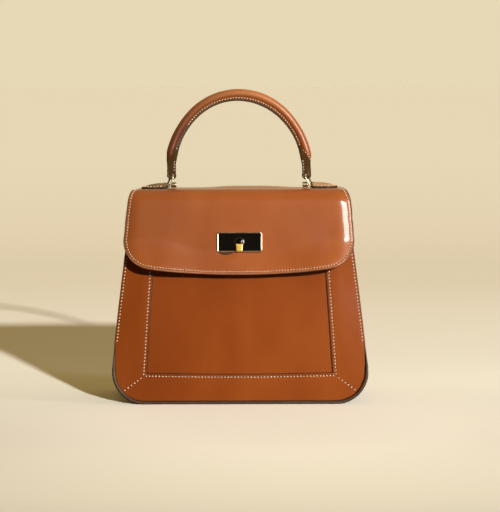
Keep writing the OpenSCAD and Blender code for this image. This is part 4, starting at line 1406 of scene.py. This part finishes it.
def lock_plate_solid(name, outline, levels, bevel, material, body, replaces=(), dome=0.0):
    """A bevelled plate on the lock's plane, between two levels, from a convex outline of (x, z)."""
    inner, outer = levels
    rows = 5
    pts = np.array(outline)
    c = pts.mean(0)
    n = len(pts)
    verts = []
    for k in range(rows):
        w = math.pi / 2 * k / (rows - 1)
        inset, level = bevel * (1 - math.cos(w)), outer - bevel + bevel * math.sin(w)
        if k == 0:
            verts += [at_lock(x, z, inner) for x, z in pts]
        for x, z in pts:
            v = np.array([x, z]) - c
            q = c + v * (1 - inset / max(np.linalg.norm(v), 1e-6))
            verts.append(at_lock(q[0], q[1], level))
    for share in (0.8, 0.5, 0.2):
        for x, z in pts:
            v = np.array([x, z]) - c
            q = c + v * (1 - bevel / max(np.linalg.norm(v), 1e-6)) * share
            verts.append(at_lock(q[0], q[1], outer + dome * (1 - share ** 2)))
    total = rows + 1 + 3
    faces = grid_faces(total, n, 0, False, True)
    faces.append(tuple(range(n - 1, -1, -1)))
    verts.append(at_lock(c[0], c[1], outer + dome))
    last = (total - 1) * n
    faces += [(last + j, last + (j + 1) % n, len(verts) - 1) for j in range(n)]
    return make(name, verts, faces, material, body, replaces)


# Height of the lock's pivot, sizes of its plate and bezel, and each piece's levels over the front's plane
PIVOT = 165.8192
PLATE_W, PLATE_H, PLATE_R = 43.6, 18.6, 1.5
FRAME_W, FRAME_H, FRAME_R, FRAME_LEVEL = 44.5, 19.3, 1.6, 9.1
PLATE_LEVELS, RING_LEVELS, BOSS_LEVELS, LEVER_LEVELS = (8.35, 9.55), (9.5, 10.7), (11.25, 13.7), (11.35, 13.9)
# The dark sheet under the plate's left end is painted shadow: its levels, left end, width, lower edge and
# top.
SHADOW_SHEET_LEVELS, SHADOW_SHEET_X, SHADOW_SHEET_W, SHADOW_SHEET_Z, SHADOW_SHEET_TOP = (7.4, 8.95), -21.0, 16.4, 155.9, 157.2


def round_rect(w, h, r):
    """A rectangle with round corners about the lock's pivot, in (x, z)."""
    pts = []
    for sx, sz, a0 in ((1, 1, 0), (-1, 1, 90), (-1, -1, 180), (1, -1, 270)):
        for a in np.radians(np.linspace(a0, a0 + 90, 7)):
            pts.append((sx * (w / 2 - r) + r * math.cos(a), PIVOT + sz * (h / 2 - r) + r * math.sin(a)))
    return pts


def circle(r, count, up=0.0):
    """A circle about the pivot, or that much above it."""
    turn = np.linspace(0, 2 * math.pi, count + 1)[:-1]
    return [(r * math.cos(a), PIVOT + up + r * math.sin(a)) for a in turn]


def closed(line, count):
    """Evenly spaced points on a closed line."""
    return [tuple(q) for q in resample(line + line[:1], count + 1)[:-1]]


def shadow_sheet_foot(x):
    """Lower edge of the dark sheet of painted shadow under the plate: deepest towards its left end."""
    deep = 3.5 * max(0.0, math.sin(math.pi * (x - SHADOW_SHEET_X) / SHADOW_SHEET_W)) ** 0.55
    return SHADOW_SHEET_Z - deep * (1 - 0.4 * (x - SHADOW_SHEET_X) / SHADOW_SHEET_W)


lock_plate_solid("lock_face", round_rect(PLATE_W, PLATE_H, PLATE_R), PLATE_LEVELS, 0.35, BLACK, "flap",
                 ["lock_plate", "lock_rivets"], 0.12)
frame_line = closed(round_rect(FRAME_W, FRAME_H, FRAME_R), 160)
sweep("lock_frame", [at_lock(x, z, FRAME_LEVEL) for x, z in frame_line], oval(0.95, 0.95, 12, 0.85),
      [(0, -COS, SIN)] * 160, ROSE_GOLD, "flap", ["lock_bezel"], closed=True)
lock_plate_solid("lock_ring", circle(5.0, 48), RING_LEVELS, 0.5, BLACK, "flap",
                 ["lock_collar"], -0.2)
sweep("lock_ring_lip", [at_lock(x, z, RING_LEVELS[1]) for x, z in circle(4.35, 64)], oval(0.42, 0.4, 12),
      [(0, -COS, SIN)] * 64, CHROME, "flap", closed=True)
lock_plate_solid("lever_boss", circle(3.5, 48, 0.4), BOSS_LEVELS, 1.1, CHROME_DARK, "lock",
                 (), 0.35)
lever = [(3.55, 1.3), (3.1, 8.4), (2.5, 9.2)]
lever = [(-x, PIVOT - down) for x, down in lever] + [(x, PIVOT - down) for x, down in reversed(lever)]
lock_plate_solid("lever_gold", closed(lever, 60), LEVER_LEVELS, 0.55, BRIGHT_GOLD, "lock",
                 ["lock_lever"], 0.1)
# A dark sheet under the plate's left end, painted shadow where the plate stands off the leather.
crease_and_shadow_sheet = [(x, shadow_sheet_foot(x)) for x in np.linspace(SHADOW_SHEET_X, SHADOW_SHEET_X + SHADOW_SHEET_W, 32)]
crease_and_shadow_sheet = closed(crease_and_shadow_sheet + [(crease_and_shadow_sheet[-1][0], SHADOW_SHEET_TOP), (SHADOW_SHEET_X, SHADOW_SHEET_TOP)], 90)
lock_plate_solid("lock_painted_shadow", crease_and_shadow_sheet, SHADOW_SHEET_LEVELS, 0.2, DARK_PAINT, "flap")

# Links: oval rings from the bars up to the straps' eyes, turned out of the photo's plane
LINK_R, LINK_RUN, LINK_Z, LINK_TWIST, LINK_STEPS = 2.4, 8.0, 222.15, math.radians(36), 60
LINK_FOOT = {"right": 74.3, "left": 73.5}
LINK_LEAN = {"right": math.radians(29), "left": math.radians(24)}

for name in ("handle_post_left", "handle_post_right"):
    paint_node(name, PALE_GOLD)
for name, sign in SIDES:
    loop = [(LINK_R * math.cos(a), LINK_RUN + LINK_R * math.sin(a)) for a in np.linspace(0, math.pi, 17)]
    loop += [(LINK_R * math.cos(a), LINK_R * math.sin(a)) for a in np.linspace(math.pi, 2 * math.pi, 17)]
    loop = closed(loop, LINK_STEPS)
    along, rise = math.cos(LINK_LEAN[name]), math.sin(LINK_LEAN[name])
    path = []
    for u, v in loop:
        across = u * math.sin(LINK_TWIST)
        path.append((sign * (LINK_FOOT[name] + across * along - v * rise), u * math.cos(LINK_TWIST),
                     LINK_Z + across * rise + v * along))
    up = (sign * along * math.cos(LINK_TWIST), -math.sin(LINK_TWIST), rise * math.cos(LINK_TWIST))
    ring = sweep("link_ring_" + name, path, oval(0.75, 0.75, 12), [up] * LINK_STEPS, LINK_SHADED_GOLD, "handle",
                 ["handle_link_" + name], closed=True,
                 scale=[1.0 + 0.2 * u / LINK_R for u, v in loop])
    # The ring's front half takes the pale metal and its back half the dark one: painted light and painted
    # shade on one metal.
    ring.data.materials.append(LINK_LIT_GOLD)
    for part in ring.data.polygons:
        part.material_index = 1 if loop[min(part.index // 12, LINK_STEPS - 1)][0] < 0 else 0
paint_node("lock_shaft", BLACK)
for name in ("lock_tongue", "keeper", "keeper_rivets", "lock_backing"):
    paint_node(name, GOLD)


# Stage, camera, light

# How pale the floor looks to the camera, by share of the way back: painted falloff of light over the floor
FLOOR_SHADES = [(0.0, (1.55, 1.52, 1.42)), (0.041, (1.32, 1.30, 1.26)), (0.10, (1.33, 1.345, 1.29)),
                (0.1395, (1.26, 1.245, 1.195)), (0.189, (1.245, 1.215, 1.15)), (0.277, (1.17, 1.115, 1.0)),
                (0.335, (1.17, 1.12, 0.99)), (0.45, (1.255, 1.19, 1.085)), (0.625, (1.28, 1.25, 1.13)),
                (1.0, (1.316, 1.29, 1.173))]
FLOOR_HALF, FLOOR_FRONT, FLOOR_BACK = 90, -0.5, 5.5
FLOOR_LIT = (88, 70, 46)


def math_node(t, operation, a, b):
    """Two values put together by a math node."""
    n = t.nodes.new("ShaderNodeMath")
    n.operation = operation
    t.links.new(a, n.inputs[0])
    t.links.new(b, n.inputs[1])
    return n.outputs[0]


def floor_look():
    """A colour of its own for the camera that changes with the distance back, painted falloff of light, and
    is darker towards the front away from a spot before the bag, a painted vignette; and a plain tan for all
    light.
    """
    m, t, b = tree("pale_floor")
    speck = noise_node(t, 3.0, 4, 0.6)
    y = axes_of(t)["Y"]
    away = remap(t, y, 0.0, 1.0, FLOOR_FRONT, FLOOR_BACK)
    seen = ramp(t, away, [(place, rgb + (1,)) for place, rgb in FLOOR_SHADES])
    seen = mix(t, remap(t, speck, 0.0, 0.03), seen, (1.0, 0.9, 0.7, 1))
    # Darker towards the front, away from a spot before the bag: a painted vignette.
    vignette_distance = t.nodes.new("ShaderNodeVectorMath")
    vignette_distance.operation = "DISTANCE"
    vignette_distance.inputs[1].default_value = (0.05, -0.15, 0.0)
    t.links.new(coords(t), vignette_distance.inputs[0])
    near = remap(t, vignette_distance.outputs["Value"], 0.0, 1.0, 0.16, 0.45)
    dark = math_node(t, "MULTIPLY", near, remap(t, y, 0.3, 0.0, -0.2, 0.1))
    seen = mix(t, dark, seen, (0.0, 0.0, 0.0, 1))
    rays = t.nodes.new("ShaderNodeLightPath")
    t.links.new(mix(t, rays.outputs["Is Camera Ray"], FLOOR_LIT, seen), b.inputs["Base Color"])
    b.inputs["Roughness"].default_value = 0.9
    b.inputs["Specular IOR Level"].default_value = 0.15
    return m


def stage_floor():
    """A wide flat floor at the height of the bag's foot."""
    mesh = bpy.data.meshes.new("floor")
    n = 41
    xs = np.linspace(-FLOOR_HALF, FLOOR_HALF, n)
    mesh.from_pydata([(x, y, 0.0) for y in xs for x in xs], [], grid_faces(n, n))
    mesh.update()
    floor = bpy.data.objects.new("floor", mesh)
    bpy.context.collection.objects.link(floor)
    mesh.materials.append(floor_look())


stage_floor()

# Metres and radians. The focal length is in pixels, and the picture is 512 of them high.
CAM_X, CAM_Y, CAM_Z, CAM_PITCH, CAM_ROLL = 0.01074, -2.052, 0.33, 0.08866, -0.003
F_PX, PICTURE_PX, SENSOR = 1976.75, 512, 36.0
AIM_Z, LAMP_D = 0.13, 1.5

cam_data = bpy.data.cameras.new("camera")
cam_data.sensor_width = SENSOR
cam_data.lens = F_PX * SENSOR / PICTURE_PX
cam_data.clip_end = 400
camera = bpy.data.objects.new("camera", cam_data)
bpy.context.collection.objects.link(camera)
camera.location = (CAM_X, CAM_Y, CAM_Z)
camera.rotation_mode = "QUATERNION"
turned = Matrix.Rotation(math.pi / 2 - CAM_PITCH, 3, "X") @ Matrix.Rotation(CAM_ROLL, 3, "Z")
camera.rotation_quaternion = turned.to_quaternion()
bpy.context.scene.camera = camera


def lamp(name, kind, azimuth, elevation, power, colour):
    """A light on the bag: azimuth from the front towards the right, in degrees."""
    a, e = math.radians(azimuth), math.radians(elevation)
    d = Vector((math.sin(a) * math.cos(e), -math.cos(a) * math.cos(e), math.sin(e))).normalized()
    data = bpy.data.lights.new(name, kind)
    data.energy = power
    data.color = colour
    obj = bpy.data.objects.new(name, data)
    bpy.context.collection.objects.link(obj)
    obj.location = Vector((0, 0, AIM_Z)) + d * LAMP_D
    obj.rotation_mode = "QUATERNION"
    obj.rotation_quaternion = (-d).to_track_quat("-Z", "Y")
    return obj


def panel(name, azimuth, elevation, power, colour, wide, high):
    """A rectangular lamp."""
    obj = lamp(name, "AREA", azimuth, elevation, power, colour)
    obj.data.shape = "RECTANGLE"
    obj.data.size, obj.data.size_y = wide, high
    return obj


key = lamp("key", "SUN", 24.5, 18.5, 4.0, (1.0, 0.955, 0.86))
key.data.angle = math.radians(2.6)
panel("side_soft", 70, 22, 3.0, (1.0, 0.97, 0.93), 0.2, 1.2)
glint = panel("glint", 34.5, 10.2, 40.0, (1.0, 0.98, 0.95), 0.6, 0.56)
glint.visible_diffuse = False


def either_shader(t, share, first, second):
    """The first shader where share is 0, the second where it is 1."""
    n = t.nodes.new("ShaderNodeMixShader")
    for out, sock in zip((share, first, second), n.inputs):
        t.links.new(out, sock)
    return n.outputs[0]


def room():
    """Warm light from all round, a room that mirrors show, and a plain backdrop for the camera."""
    world = bpy.data.worlds.new("room")
    bpy.context.scene.world = world
    world.use_nodes = True
    t = world.node_tree
    t.nodes.clear()
    split = t.nodes.new("ShaderNodeSeparateXYZ")
    t.links.new(t.nodes.new("ShaderNodeTexCoord").outputs["Generated"], split.inputs[0])
    y = split.outputs["Y"]
    fill, mirror, seen = [t.nodes.new("ShaderNodeBackground") for k in range(3)]
    around = mix(t, remap(t, y, 0.0, 1.0, -0.6, 0.6), (0.085, 0.058, 0.022, 1), (0.33, 0.23, 0.075, 1))
    t.links.new(around, fill.inputs["Color"])
    behind = mix(t, remap(t, y, 0.16, 1.0, -0.75, 0.25), (0.03, 0.02, 0.013, 1), (0.78, 0.60, 0.36, 1))
    t.links.new(behind, mirror.inputs["Color"])
    seen.inputs["Color"].default_value = lin((231, 216, 182))
    rays = t.nodes.new("ShaderNodeLightPath").outputs
    lit = either_shader(t, rays["Is Glossy Ray"], fill.outputs[0], mirror.outputs[0])
    straight = math_node(t, "MAXIMUM", rays["Is Camera Ray"], rays["Is Transmission Ray"])
    out = t.nodes.new("ShaderNodeOutputWorld")
    t.links.new(either_shader(t, straight, lit, seen.outputs[0]), out.inputs[0])


room()
bpy.context.scene.view_settings.view_transform = "Standard"
